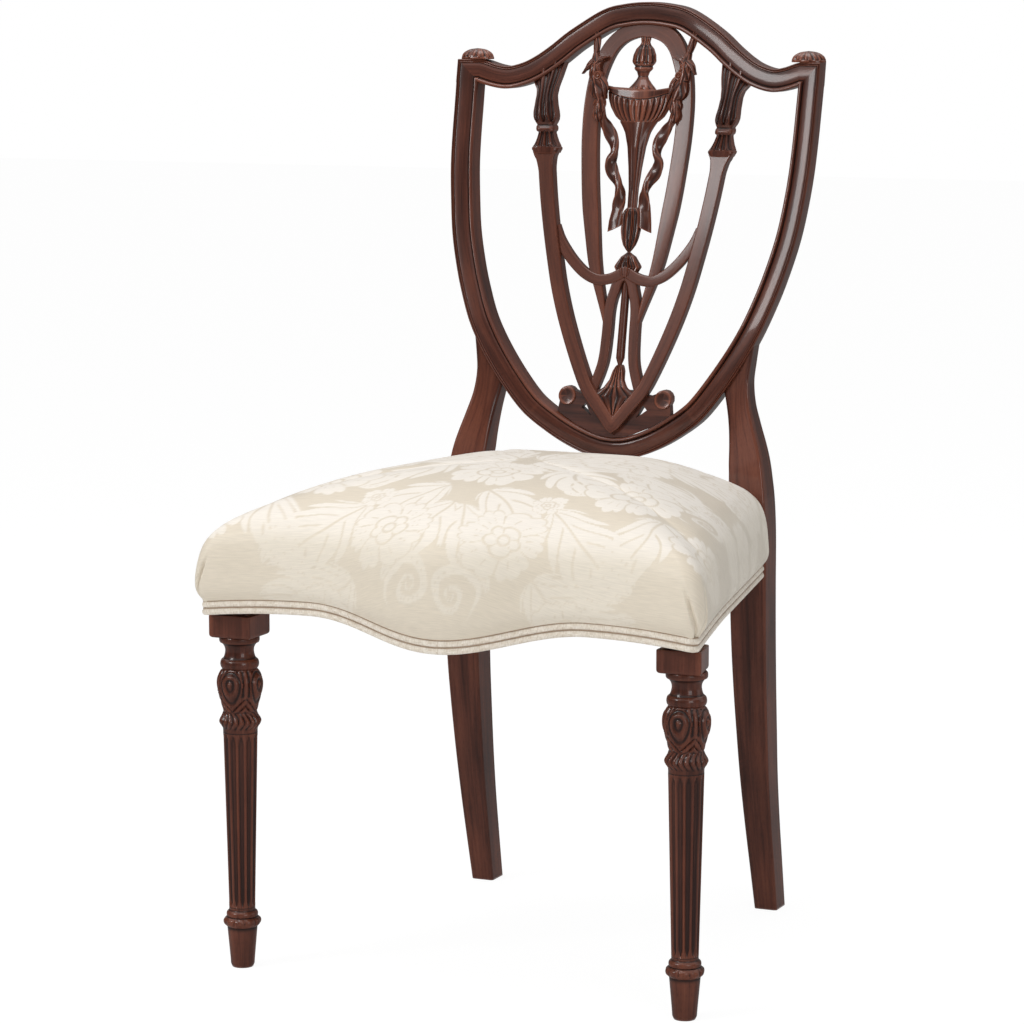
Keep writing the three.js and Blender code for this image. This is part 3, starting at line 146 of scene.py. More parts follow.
def newGroup(name, inputs, outputs):
    # a node group with named sockets: inputs as {name: (kind, value)}, outputs as {name: kind}
    tree = bpy.data.node_groups.new(name, "ShaderNodeTree")
    for key, (kind, value) in inputs.items():
        made = tree.interface.new_socket(key, in_out="INPUT", socket_type="NodeSocket" + kind)
        if value is not None:
            made.default_value = value
    for key, kind in outputs.items():
        tree.interface.new_socket(key, in_out="OUTPUT", socket_type="NodeSocket" + kind)
    source = tree.nodes.new("NodeGroupInput")
    sink = tree.nodes.new("NodeGroupOutput")
    return tree, source.outputs, sink.inputs


def useGroup(tree, group, inputs):
    return addNode(tree, "Group", inputs, node_tree=group).outputs


def newMaterial(name):
    material = bpy.data.materials.new(name)
    material.use_nodes = True
    tree = material.node_tree
    return material, tree, tree.nodes["Principled BSDF"]


# Wood

def makeWoodGroup():
    # grain runs along Y of the vector; Hollow is above zero in grooves and below it on edges
    tree, given, out = newGroup(
        "woodFigure",
        {
            "Vector": ("Vector", None), "Dark": ("Color", (0.02, 0.006, 0.004, 1)),
            "Middle": ("Color", (0.1, 0.028, 0.016, 1)), "Light": ("Color", (0.18, 0.055, 0.029, 1)),
            "Hollow": ("Float", 0.0), "GlazeAndShade": ("Float", 0.8), "WearAndHighlight": ("Float", 0.35),
        },
        {"Color": "Color", "Roughness": "Float", "Height": "Float"},
    )
    place = given["Vector"]
    broad = noiseOf(tree, place, (34, 4.5, 34), 3, Distortion=0.6)
    bands = noiseOf(tree, place, (210, 7, 210), 4, Roughness=0.6, Distortion=0.3)
    fibres = noiseOf(tree, place, (1500, 42, 1500), 3)
    pore = spanned(tree, noiseOf(tree, place, (2600, 130, 2600), 1), 0.6, 0.72)
    mixed = calc(tree, "MULTIPLY_ADD", bands, 0.42, calc(tree, "MULTIPLY", broad, 0.58))
    mixed = calc(tree, "MULTIPLY_ADD", fibres, 0.2, calc(tree, "SUBTRACT", mixed, 0.1))
    colour = blendColour(tree, spanned(tree, mixed, 0.3, 0.52), given["Dark"], given["Middle"])
    colour = blendColour(tree, spanned(tree, mixed, 0.48, 0.72), colour, given["Light"])
    colour = blendColour(tree, calc(tree, "MULTIPLY", pore, 0.55), colour, given["Dark"])
    cloud = spanned(tree, noiseOf(tree, place, 7.5, 2), 0.4, 0.66, 0, 0.62)
    colour = blendColour(tree, calc(tree, "MULTIPLY", cloud, given["GlazeAndShade"]), colour, given["Dark"])
    # grooves are darkened towards near black: partly a dark glaze, partly painted shade in the recesses
    inGroove = spanned(tree, given["Hollow"], 0.04, 0.42)
    onEdge = spanned(tree, given["Hollow"], -0.14, -0.7)
    grooveGlazeAndShade = calc(tree, "MULTIPLY", inGroove, given["GlazeAndShade"])
    colour = blendColour(tree, grooveGlazeAndShade, colour, (0.012, 0.004, 0.003, 1))
    # edges are lightened towards the Light colour: partly rubbed wear, partly a painted highlight
    colour = blendColour(tree, calc(tree, "MULTIPLY", onEdge, given["WearAndHighlight"]), colour, given["Light"])
    tree.links.new(colour, out["Color"])
    rough = calc(tree, "MULTIPLY_ADD", mixed, 0.16, 0.3)
    rough = calc(tree, "MULTIPLY_ADD", inGroove, 0.18, rough)
    tree.links.new(rough, out["Roughness"])
    height = calc(tree, "MULTIPLY_ADD", pore, -0.6, calc(tree, "MULTIPLY", fibres, 0.5))
    tree.links.new(height, out["Height"])
    return tree


woodGroup = makeWoodGroup()

# glaze darkens soft clouds at random and the grooves, where it is partly a dark glaze and partly painted
# shade
# wear lightens the edges, partly as rubbed wear and partly as a painted highlight
lacquer = {
    "mahogany": {"glazeAndShade": 0.85, "wearAndHighlight": 0.3, "coat": 0.4},
    "carvedMahogany": {"glazeAndShade": 0.92, "wearAndHighlight": 0.7, "coat": 0.5,
                       "colours": {"Dark": (0.014, 0.005, 0.0035, 1), "Middle": (0.068, 0.019, 0.011, 1),
                                   "Light": (0.23, 0.07, 0.037, 1)}},
    "beech": {"glazeAndShade": 0.3, "wearAndHighlight": 0.1, "coat": 0.0,
              "colours": {"Dark": (0.3, 0.17, 0.085, 1), "Middle": (0.46, 0.29, 0.15, 1),
                          "Light": (0.58, 0.4, 0.23, 1)}},
}


def woodMaterial(name, finish, along=None):
    # grain follows the piece's own map, or the object's X, Y or Z where along names one
    material, tree, shader = newMaterial(name)
    if along is None:
        vector = addNode(tree, "UVMap", uv_map="grain").outputs[0]
        hollow = addNode(tree, "Attribute", attribute_name="hollow").outputs["Fac"]
    else:
        place = addNode(tree, "TexCoord").outputs["Object"]
        turn = {"x": (0, 0, pi / 2), "y": (0, 0, 0), "z": (pi / 2, 0, 0)}[along]
        vector = addNode(tree, "Mapping", {"Vector": place, "Rotation": turn}).outputs[0]
        hollow = 0.0
    values = {"Vector": vector, "Hollow": hollow, "GlazeAndShade": finish["glazeAndShade"], "WearAndHighlight": finish["wearAndHighlight"]}
    values.update(finish.get("colours", {}))
    figure = useGroup(tree, woodGroup, values)
    tree.links.new(figure["Color"], shader.inputs["Base Color"])
    tree.links.new(figure["Roughness"], shader.inputs["Roughness"])
    bump = addNode(tree, "Bump", {"Height": figure["Height"], "Distance": 0.00005, "Strength": 0.5})
    tree.links.new(bump.outputs[0], shader.inputs["Normal"])
    shader.inputs["Coat Weight"].default_value = finish["coat"]
    shader.inputs["Coat Roughness"].default_value = 0.1
    shader.inputs["Coat IOR"].default_value = 1.5
    shader.inputs["Specular IOR Level"].default_value = 0.22
    return material


mahogany = woodMaterial("mahogany", lacquer["mahogany"])
carvedMahogany = woodMaterial("carvedMahogany", lacquer["carvedMahogany"])
mahoganyAcross = woodMaterial("mahoganyAcross", lacquer["mahogany"], "x")
beechAcross = woodMaterial("beechAcross", lacquer["beech"], "x")
beechAlong = woodMaterial("beechAlong", lacquer["beech"], "y")


# Cloth

def makeWeaveGroup():
    # crossing threads with uneven slubs; Ribs are threads in a metre
    tree, given, out = newGroup("weave", {"Vector": ("Vector", None), "Ribs": ("Float", 1800.0)},
                                {"Height": "Float", "Shade": "Float"})
    split = addNode(tree, "SeparateXYZ", {0: given["Vector"]}).outputs
    ribs = calc(tree, "MULTIPLY", given["Ribs"], 2 * pi)
    across = calc(tree, "SINE", calc(tree, "MULTIPLY", split[0], ribs))
    along = calc(tree, "SINE", calc(tree, "MULTIPLY", split[1], ribs))
    threads = calc(tree, "MULTIPLY_ADD", calc(tree, "MULTIPLY", across, along), 0.5, 0.5)
    slubs = noiseOf(tree, given["Vector"], (60, 900, 1), 3)
    height = calc(tree, "MULTIPLY_ADD", slubs, 0.9, calc(tree, "MULTIPLY", threads, 0.35))
    tree.links.new(height, out["Height"])
    tree.links.new(slubs, out["Shade"])
    return tree


weaveGroup = makeWeaveGroup()

damaskCloth = {
    # colours on the flat top and on the steep sides, where satin and figure return nearly the same light;
    # this sheen is painted into the colours by which way the surface faces
    "ground": (0.68, 0.6, 0.485, 1), "figure": (0.815, 0.758, 0.682, 1),
    "steepSheenGround": (0.7, 0.625, 0.51, 1), "steepSheenFigure": (0.745, 0.68, 0.575, 1),
    "groundRough": 0.42, "figureRough": 0.68,
}


def damaskMaterial():
    material, tree, shader = newMaterial("damask")
    place = addNode(tree, "UVMap", uv_map="cloth").outputs[0]
    figure = addNode(tree, "Attribute", attribute_name="figure").outputs["Fac"]
    weave = useGroup(tree, weaveGroup, {"Vector": place, "Ribs": 1100.0})
    shade = spanned(tree, weave["Shade"], 0.3, 0.7, 0.93, 1.04)
    # painted sheen: figure and ground colours change with how far the surface faces up
    upwards = addNode(tree, "SeparateXYZ", {0: addNode(tree, "NewGeometry").outputs["Normal"]}).outputs[2]
    topSheenShare = spanned(tree, upwards, 0.3, 0.85)
    steepSheenColour = blendColour(tree, figure, damaskCloth["steepSheenGround"], damaskCloth["steepSheenFigure"])
    flat = blendColour(tree, figure, damaskCloth["ground"], damaskCloth["figure"])
    colour = blendColour(tree, topSheenShare, steepSheenColour, flat)
    colour = addNode(tree, "VectorMath", {0: colour, 3: shade}, operation="SCALE").outputs[0]
    tree.links.new(colour, shader.inputs["Base Color"])
    rough = spanned(tree, figure, 0, 1, damaskCloth["groundRough"], damaskCloth["figureRough"])
    tree.links.new(rough, shader.inputs["Roughness"])
    height = calc(tree, "MULTIPLY_ADD", figure, 0.9, weave["Height"])
    bump = addNode(tree, "Bump", {"Height": height, "Distance": 0.00022, "Strength": 0.55})
    tree.links.new(bump.outputs[0], shader.inputs["Normal"])
    shader.inputs["Sheen Weight"].default_value = 0.25
    shader.inputs["Sheen Roughness"].default_value = 0.4
    shader.inputs["Specular IOR Level"].default_value = 0.35
    return material


def clothMaterial(name, dark, light, ribs, uvMap=None):
    material, tree, shader = newMaterial(name)
    if uvMap:
        place = addNode(tree, "UVMap", uv_map=uvMap).outputs[0]
    else:
        place = addNode(tree, "TexCoord").outputs["Object"]
    weave = useGroup(tree, weaveGroup, {"Vector": place, "Ribs": ribs})
    cloudy = noiseOf(tree, place, 180, 3)
    share = calc(tree, "MULTIPLY_ADD", weave["Shade"], 0.5, calc(tree, "MULTIPLY", cloudy, 0.5))
    tree.links.new(ramp(tree, share, [(0.35, dark), (0.62, light)]), shader.inputs["Base Color"])
    bump = addNode(tree, "Bump", {"Height": weave["Height"], "Distance": 0.0004, "Strength": 0.7})
    tree.links.new(bump.outputs[0], shader.inputs["Normal"])
    shader.inputs["Roughness"].default_value = 0.85
    shader.inputs["Sheen Weight"].default_value = 0.2
    return material


damask = damaskMaterial()
weltCloth = clothMaterial("weltCloth", (0.6, 0.51, 0.4), (0.82, 0.76, 0.67), 900.0, "grain")
# the seam thread's dark brown is partly the thread and partly painted shade in the groove between cords
seamThreadAndShade = clothMaterial("seamThreadAndShade", (0.3, 0.21, 0.14), (0.42, 0.31, 0.22), 2400.0, "grain")
cambric = clothMaterial("cambric", (0.01, 0.01, 0.01), (0.022, 0.021, 0.021), 1200.0)


# Lines and sheets of the back

shieldSill = 503
shieldHalfWidth = 182
shieldRise = 433
backBend = 850
shieldFoot = 397
splatFoot = 393
splatLean = 0.2075
splatFootHeight = 512
shieldProfile = [
    [-0.06, -0.003], [0.14, 0.011], [0.27, 0.035], [0.363, 0.062], [0.547, 0.1155],
    [0.686, 0.148], [0.871, 0.19], [1, 0.212], [1.06, 0.214],
]


def smoothAt(rows, at):
    # the smooth line through [place, value] rows, read at one place or at many
    places, values = np.array(rows, float).T
    slopes = np.diff(values) / np.diff(places)
    middle = (values[2:] - values[:-2]) / (places[2:] - places[:-2])
    slopes = np.concatenate([slopes[:1], middle, slopes[-1:]])
    at = np.clip(at, places[0], places[-1])
    left = np.clip(np.searchsorted(places, at, side="right") - 1, 0, len(places) - 2)
    span = places[left + 1] - places[left]
    share = (at - places[left]) / span
    square, cube = share**2, share**3
    return ((2 * cube - 3 * square + 1) * values[left] + (cube - 2 * square + share) * span * slopes[left]
            + (3 * square - 2 * cube) * values[left + 1] + (cube - square) * span * slopes[left + 1])


def straightAt(rows, at):
    places, values = np.array(rows, float).T
    return np.interp(at, places, values)


def shieldFace(x, z):
    back = smoothAt(shieldProfile, (z - shieldSill) / shieldRise) * shieldRise
    return shieldFoot + back - x**2 / (2 * backBend)


def splatFace(x, z):
    return splatFoot + splatLean * (z - splatFootHeight) - x**2 / (2 * backBend)


def heightOf(share):
    return shieldSill + share * shieldRise


def backPlaces(shares):
    # places in the front view from their shares of the shield
    return np.array(shares, float) * (shieldHalfWidth, shieldRise) + (0, shieldSill)


def finer(rows, factor, closed):
    # more rows or points through the given ones, along the first axis, on a smooth line
    if closed:
        padded = np.concatenate([rows[-1:], rows, rows[:2]])
    else:
        padded = np.concatenate([rows[:1], rows, rows[-1:]])
    shape = (1, factor) + (1,) * (rows.ndim - 1)
    share = (np.arange(factor) / factor).reshape(shape)
    a, b, c, d = (padded[k:len(padded) - 3 + k][:, None] for k in range(4))
    leave, arrive = (c - a) / 2, (d - b) / 2
    fine = ((2 * b - 2 * c + leave + arrive) * share**3 + (3 * c - 3 * b - 2 * leave - arrive) * share**2
            + leave * share + b)
    fine = fine.reshape(-1, *rows.shape[1:])
    return fine if closed else np.concatenate([fine, rows[-1:]])


def reachAlong(points):
    return np.append(0, np.cumsum(np.linalg.norm(np.diff(points, axis=0), axis=1)))


def readAt(places, rows, at):
    return np.column_stack([np.interp(at, places, column) for column in rows.T])


def evenly(points, count, closed=False):
    if closed:
        points = np.vstack([points, points[:1]])
    reach = reachAlong(points)
    return readAt(reach, points, np.linspace(0, reach[-1], count, endpoint=not closed))


def curveThrough(drawn, count, part=(0, 1)):
    # count places evenly along the curve through the drawn ones, with the direction at each
    fine = finer(np.array(drawn, float), 40, closed=False)
    reach = reachAlong(fine)
    at = np.linspace(part[0], part[1], count) * reach[-1]
    nudge = reach[-1] / 400
    ahead = readAt(reach, fine, at + nudge) - readAt(reach, fine, at - nudge)
    return readAt(reach, fine, at), ahead / np.linalg.norm(ahead, axis=1)[:, None]


def wholeLine(half):
    # both sides of a line drawn from the middle to the right
    return np.vstack([half[:0:-1] * (-1, 1), half])


def acrossOf(ahead, first=None, last=None):
    # the direction square to a line at each place, with its ends given where they meet a neighbour
    across = np.column_stack([-ahead[:, 1], ahead[:, 0]])
    if first is not None:
        across[0] = first
    if last is not None:
        across[-1] = last
    return across


def barRings(places, across, sectionAt, face):
    # sections set square to a line of the front view and laid on a sheet of the back
    rings = []
    for i, (place, side) in enumerate(zip(places, across)):
        section = sectionAt(i / (len(places) - 1))
        x = place[0] + side[0] * section[:, 0]
        z = place[1] + side[1] * section[:, 0]
        rings.append(np.column_stack([x, face(x, z) + section[:, 1], z]))
    return np.array(rings)


def roundedSection(width, front, depth, radius, steps=4):
    # a rectangle with rounded corners, as places across and behind the sheet
    corners = [(1, 1, 0), (-1, 1, 90), (-1, -1, 180), (1, -1, 270)]
    points = []
    for sideways, backwards, start in corners:
        centre = (sideways * (width / 2 - radius), front + depth / 2 + backwards * (depth / 2 - radius))
        for angle in np.radians(np.linspace(start, start + 90, steps)):
            points.append((centre[0] + radius * np.cos(angle), centre[1] + radius * np.sin(angle)))
    return np.array(points)


# Meshes

hollowRadius = 1.6


def rolled(rings, closeEnds=True, flat=None):
    # a grid laid on the rings and joined along its seam; its map runs round and along the piece,
    # or follows the flat places given for a cloth
    count, round_ = rings.shape[:2]
    closed = np.concatenate([rings, rings[:, :1]], axis=1)
    bm = bmesh.new()
    bmesh.ops.create_grid(bm, x_segments=round_, y_segments=count - 1, size=1)
    bm.verts.ensure_lookup_table()
    spot = bm.verts.layers.int.new("spot")
    for number, (vert, place) in enumerate(zip(bm.verts, closed.reshape(-1, 3))):
        vert.co = place
        vert[spot] = number
    around = np.cumsum(np.linalg.norm(np.diff(closed, axis=1, prepend=closed[:, :1]), axis=2), axis=1)
    along = np.cumsum(np.linalg.norm(np.diff(closed, axis=0, prepend=closed[:1]), axis=2), axis=0)
    even = np.broadcast_to(along.mean(axis=1, keepdims=True), along.shape)
    middle = np.broadcast_to(around.mean(axis=0, keepdims=True), around.shape)
    spots = np.stack([middle, even], axis=2).reshape(-1, 2) * mm
    if flat is not None:
        spots = np.concatenate([flat, flat[:, :1]], axis=1).reshape(-1, 2) * mm
    layer = bm.loops.layers.uv.new("grain" if flat is None else "cloth")
    for face in bm.faces:
        for loop in face.loops:
            loop[layer].uv = spots[loop.vert.index]
    bmesh.ops.remove_doubles(bm, verts=bm.verts, dist=0.0005)
    if closeEnds:
        bmesh.ops.holes_fill(bm, edges=bm.edges, sides=0)
    return bm


def joinDrafts(drafts):
    whole = drafts[0]
    for draft in drafts[1:]:
        mesh = bpy.data.meshes.new("draft")
        draft.to_mesh(mesh)
        whole.from_mesh(mesh)
        draft.free()
        bpy.data.meshes.remove(mesh)
    return whole


def markHollows(mesh):
    # how hollow the surface is at each point: 1 in a groove of the hollow radius, below zero on an edge
    count = len(mesh.vertices)
    spots = np.empty(count * 3)
    mesh.vertices.foreach_get("co", spots)
    spots = spots.reshape(-1, 3)
    normals = np.empty(count * 3, dtype=np.float32)
    mesh.vertex_normals.foreach_get("vector", normals)
    normals = normals.reshape(-1, 3)
    ends = np.empty(len(mesh.edges) * 2, dtype=np.int32)
    mesh.edges.foreach_get("vertices", ends)
    ends = np.concatenate([ends.reshape(-1, 2), ends.reshape(-1, 2)[:, ::-1]])
    reach = spots[ends[:, 1]] - spots[ends[:, 0]]
    bend = 2 * (reach * normals[ends[:, 0]]).sum(axis=1) / np.maximum((reach**2).sum(axis=1), 1e-9)
    touching = np.bincount(ends[:, 0], minlength=count)
    hollow = np.bincount(ends[:, 0], bend, minlength=count) / np.maximum(touching, 1) * hollowRadius * mm * 2
    hollow = np.clip(hollow, -1.5, 1.5)
    for _ in range(2):
        near = np.bincount(ends[:, 0], hollow[ends[:, 1]], minlength=count) / np.maximum(touching, 1)
        hollow = (hollow + near) / 2
    layer = mesh.attributes.new("hollow", "FLOAT", "POINT")
    layer.data.foreach_set("value", hollow.astype(np.float32))


def finishPiece(name, bm, material, slot, replaced=(), smoothBelow=38, mirrored=False):
    # metres, the frame's place, clean normals, sharp edges, and what the piece stands for
    if mirrored:
        bm = bm.copy()
        for vert in bm.verts:
            vert.co.x = -vert.co.x
    for vert in bm.verts:
        vert.co = placeOf(*vert.co)
    bm.normal_update()
    bmesh.ops.recalc_face_normals(bm, faces=bm.faces)
    if bm.calc_volume(signed=True) < 0:
        bmesh.ops.reverse_faces(bm, faces=bm.faces)
    for face in bm.faces:
        face.smooth = True
    for edge in bm.edges:
        edge.smooth = edge.calc_face_angle(pi) < radians(smoothBelow)
    mesh = bpy.data.meshes.new(name)
    bm.to_mesh(mesh)
    bm.free()
    if "spot" in mesh.attributes:
        mesh.attributes.remove(mesh.attributes["spot"])
    markHollows(mesh)
    mesh.materials.append(material)
    piece = bpy.data.objects.new(name, mesh)
    bpy.context.scene.collection.objects.link(piece)
    weighted = piece.modifiers.new("evenShading", "WEIGHTED_NORMAL")
    weighted.keep_sharp = True
    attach(piece, "root")
    if replaced:
        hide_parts(*replaced)
    return piece


def finishPair(name, bm, material, slot, replaced=(), **more):
    left = finishPiece(name + "Left", bm, material, slot, [node + "_left" for node in replaced],
                       mirrored=True, **more)
    right = finishPiece(name + "Right", bm, material, slot, [node + "_right" for node in replaced], **more)
    return left, right


# Shield frame

shield = {
    "width": 24,
    "depth": 21,
    # the face of the moulding from its outer edge to its inner bead: place across, depth behind the sheet
    "moulding": [
        [-12, 19], [-12, 9], [-12, 1.4], [-11.75, 0.4], [-11.1, -0.35], [-10.4, 0.2], [-10.05, 0.85],
        [-9.7, 0.2], [-9.1, -0.3], [-8.5, 0.2], [-8.2, 0.95], [-7.5, 0.45], [-4, 0.1], [0, 0], [3.6, 0.1],
        [5.6, 0.5], [6.5, 1.5], [7.1, 1.8], [7.6, 1], [7.9, -0.6], [8.6, -1.8], [9.7, -2.2], [10.8, -1.8],
        [11.6, -0.8], [12, 0.8], [12, 9], [12, 19], [10.6, 21], [-10.6, 21],
    ],
    "inner": [
        [0, 0], [0.099, 0.0055], [0.238, 0.029], [0.374, 0.0635], [0.489, 0.103], [0.646, 0.19],
        [0.768, 0.275], [0.849, 0.357], [0.904, 0.43], [0.945, 0.501], [0.971, 0.575], [0.989, 0.649],
        [0.997, 0.723], [1, 0.797], [1.003, 0.871], [1.004, 0.9115],
    ],
    "crest": [
        [0, 1.0266], [0.13, 1.022], [0.253, 1.0085], [0.431, 0.963], [0.542, 0.926], [0.632, 0.899],
        [0.72, 0.8795], [0.824, 0.868], [0.91, 0.872], [1, 0.8845],
    ],
    "bottomJoint": 0.2,
    "crestGap": 0.2,
    "steps": 200,
}
halfFrame = shield["width"] / 2


def frameLine(shift, count, part=(0, 1)):
    places, ahead = curveThrough(backPlaces(shield["inner"]), 41)
    ahead[0] = (1, 0)
    moved = places + np.column_stack([ahead[:, 1], -ahead[:, 0]]) * shift
    return curveThrough(moved, count, part)


def makeShield():
    moulding = np.array(shield["moulding"], float)

    def sectionAt(_):
        return moulding

    # stiles run from the bottom joint up to a mitre at the ear
    steps = shield["steps"]
    places, ahead = frameLine(halfFrame, steps)
    across = acrossOf(ahead, last=(-1, 0))
    earTop = places[-1]
    crestEnd = backPlaces(shield["crest"])[-1]
    mitre = np.array([earTop[0], crestEnd[1]])
    start = int(round(shield["bottomJoint"] * (steps - 1)))
    kept = [i for i in range(start, steps) if places[i][1] < mitre[1] - halfFrame - 1]
    stilePlaces = np.vstack([places[kept], [mitre - (0, halfFrame)], [mitre]])
    stileAcross = np.vstack([across[kept], [(-1, 0)], [(-1, -1)]])
    rings = barRings(stilePlaces, stileAcross, sectionAt, shieldFace)
    finishPair("shieldStile", rolled(rings), mahogany, "mahogany", ["shield_stile"])

    rings = barRings(wholeLine(places[:start + 1]), wholeLine(across[:start + 1]), sectionAt, shieldFace)
    finishPiece("shieldBottomRail", rolled(rings), mahogany, "mahogany", ["shield_bottom_rail"])

    crest = backPlaces(shield["crest"])
    crest[-1, 0] = mitre[0] - halfFrame - shield["crestGap"]
    places, ahead = curveThrough(wholeLine(crest), 150)
    across = acrossOf(ahead, first=(0, 1), last=(0, 1))
    places = np.vstack([[mitre * (-1, 1)], places, [mitre]])
    across = np.vstack([[(-1, 1)], across, [(1, 1)]])
    rings = barRings(places, across, lambda _: moulding * (-1, 1), shieldFace)
    finishPiece("crestRail", rolled(rings), mahogany, "mahogany", ["crest_rail"])
    return mitre


mitre = makeShield()
print("shield frame made")


# Splat: ribs, hoop, lyre and festoon

splat = {
    "rib": [
        [0, 0.0266], [0.07, 0.0635], [0.162, 0.111], [0.2115, 0.148], [0.285, 0.2194], [0.35, 0.291],
        [0.403, 0.3626], [0.445, 0.4365], [0.481, 0.508], [0.5126, 0.581], [0.538, 0.6536], [0.549, 0.688],
    ],
    "ribWidths": [[0, 13.6], [0.94, 15.7], [0.975, 19], [1, 26.5]],
    "ribDepth": 13.5,
    "hoop": [
        [0.1, 0.27], [0.114, 0.294], [0.137, 0.33], [0.163, 0.366], [0.187, 0.402], [0.2055, 0.4365],
        [0.2335, 0.509], [0.259, 0.582], [0.2775, 0.656], [0.29, 0.7275], [0.291, 0.801], [0.275, 0.866],
        [0.2445, 0.91], [0.198, 0.949], [0.121, 0.977], [0, 0.9896],
    ],
    "hoopWidths": [[0, 3], [0.04, 8], [0.1, 13.5], [0.18, 17.8], [0.82, 17.8], [0.9, 13.5], [0.96, 8],
                   [1, 3]],
    "hoopDepths": (4, 11),     # where a section's front lies behind the sheet, and its thickness
    "hoopTuck": 5,
    "lyre": [
        [0.006, 0.3905], [0.0265, 0.387], [0.0455, 0.3735], [0.0605, 0.351], [0.0753, 0.328],
        [0.0835, 0.298], [0.0852, 0.247], [0.0923, 0.193], [0.111, 0.156], [0.158, 0.1],
    ],
    "lyreWidth": 11,
    "lyreDepths": (4, 11),
    "festoon": [
        [0.456, 0.506], [0.423, 0.4757], [0.3736, 0.4457], [0.3187, 0.419], [0.2527, 0.395],
        [0.1868, 0.3815], [0.1319, 0.3794], [0.0714, 0.3857], [0, 0.402],
    ],
    "festoonWidth": 11.3,
    "festoonDepths": (3, 7.5),
    "edgeRadius": 1.5,
    "tuck": 38,
}


def crestSill(x):
    return smoothAt(backPlaces(shield["crest"]), np.abs(x)) - halfFrame


def tucked(rings, depth):
    # the top of a piece slips back under the crest
    share = np.clip(1 - (crestSill(rings[:, :, 0]) - rings[:, :, 2]) / splat["tuck"], 0, 1)
    rings[:, :, 1] += depth * share**1.5
    return rings


def makeBars():
    radius = splat["edgeRadius"]
    places, ahead = curveThrough(backPlaces(splat["rib"]), 90)
    rings = barRings(places, acrossOf(ahead, (0, 1), (-1, 0)), lambda share: roundedSection(
        straightAt(splat["ribWidths"], share), 0, splat["ribDepth"], radius), splatFace)
    rib = joinDrafts([rolled(rings), makeCapital()])
    finishPair("outerRib", rib, mahogany, "mahogany", ["outer_rib"])

    half = backPlaces(splat["hoop"])
    whole = np.vstack([half, half[-2::-1] * (-1, 1)])
    places, ahead = curveThrough(whole, 170)
    rings = barRings(places, acrossOf(ahead), lambda share: roundedSection(
        straightAt(splat["hoopWidths"], share), *splat["hoopDepths"], radius), splatFace)
    finishPiece("hoop", rolled(tucked(rings, splat["hoopTuck"])), mahogany, "mahogany", ["hoop"])

    for name, piece, node, end in (("lyre", "lyreRib", "lyre_rib", None),
                                   ("festoon", "festoon", "festoon", (0, -1))):
        places, ahead = curveThrough(backPlaces(splat[name]), 60)
        section = roundedSection(splat[name + "Width"], *splat[name + "Depths"], radius)
        rings = barRings(places, acrossOf(ahead, last=end), lambda _: section, splatFace)
        finishPair(piece, rolled(rings), mahogany, "mahogany", [node])


# Carved capitals on the ribs

capital = {
    # by height share: the middle as a share of the shield's half width, the half width, and how far
    # the front stands out
    "centre": [[0.688, 0.549], [0.746, 0.56], [0.811, 0.578], [0.87, 0.585], [0.94, 0.585]],
    "widths": [
        [0.684, 12.8], [0.69, 13.9], [0.6925, 14.8], [0.6975, 14.8], [0.6985, 13.8], [0.704, 13.4],
        [0.712, 11.6], [0.722, 10], [0.733, 8.6], [0.736, 8.7], [0.7385, 9.8], [0.744, 10.3],
        [0.7495, 9.9], [0.7525, 8.8],
        [0.756, 9.6], [0.76, 10.8], [0.766, 11.9], [0.774, 12.4], [0.785, 12.1], [0.8, 11.1], [0.825, 10.2],
        [0.842, 11.2], [0.86, 14], [0.9, 18.5],
    ],
    "bulges": [
        [0.684, 1.2], [0.6975, 2.2], [0.7, 2.4], [0.71, 1.6], [0.733, -0.8], [0.744, 1], [0.7525, -0.8],
        [0.758, 1.2], [0.766, 2.8], [0.776, 3.4], [0.79, 2.8], [0.82, 1.8], [0.842, 1.2], [0.86, 1.2],
        [0.9, 1.2],
    ],
    "depth": 13.5,
    "rows": 130,
    "columns": 61,
    "leansFrom": 0.835,
    "tuck": 12,
    # petals: the heights they span, their middles across the front, half width, depth of the hollow
    "petals": [
        {"from": 0.76, "to": 0.93, "middles": [-0.7, 0, 0.7], "half": 0.35, "deep": 3.4},
        {"from": 0.7, "to": 0.7375, "middles": [-0.86, -0.29, 0.29, 0.86], "half": 0.26, "deep": 2.8},
    ],
}


def petalRelief(across, deep):
    # a hollow petal with a raised rim and a thin middle rib; across is 0 at its middle and 1 at its rim
    hollow = -0.75 * deep * np.clip(1 - across**2, 0, None)
    rim = 0.45 * deep * np.exp(-((across - 0.84) / 0.17)**2)
    rib = 0.4 * deep * np.exp(-(across / 0.12)**2)
    return np.where(across < 1, hollow, 0) + np.where(across < 1.35, rim + rib, 0)


def capitalRelief(u, up):
    for petals in capital["petals"]:
        share = (up - petals["from"]) / (petals["to"] - petals["from"])
        if 0 < share < 1:
            half = petals["half"] * np.sqrt(1 - (1 - min(share / 0.16 + 0.02, 1))**2)
            away = np.min([np.abs(u - middle) for middle in petals["middles"]], axis=0)
            return petalRelief(away / max(half, 0.02), petals["deep"])
    return 0 * u


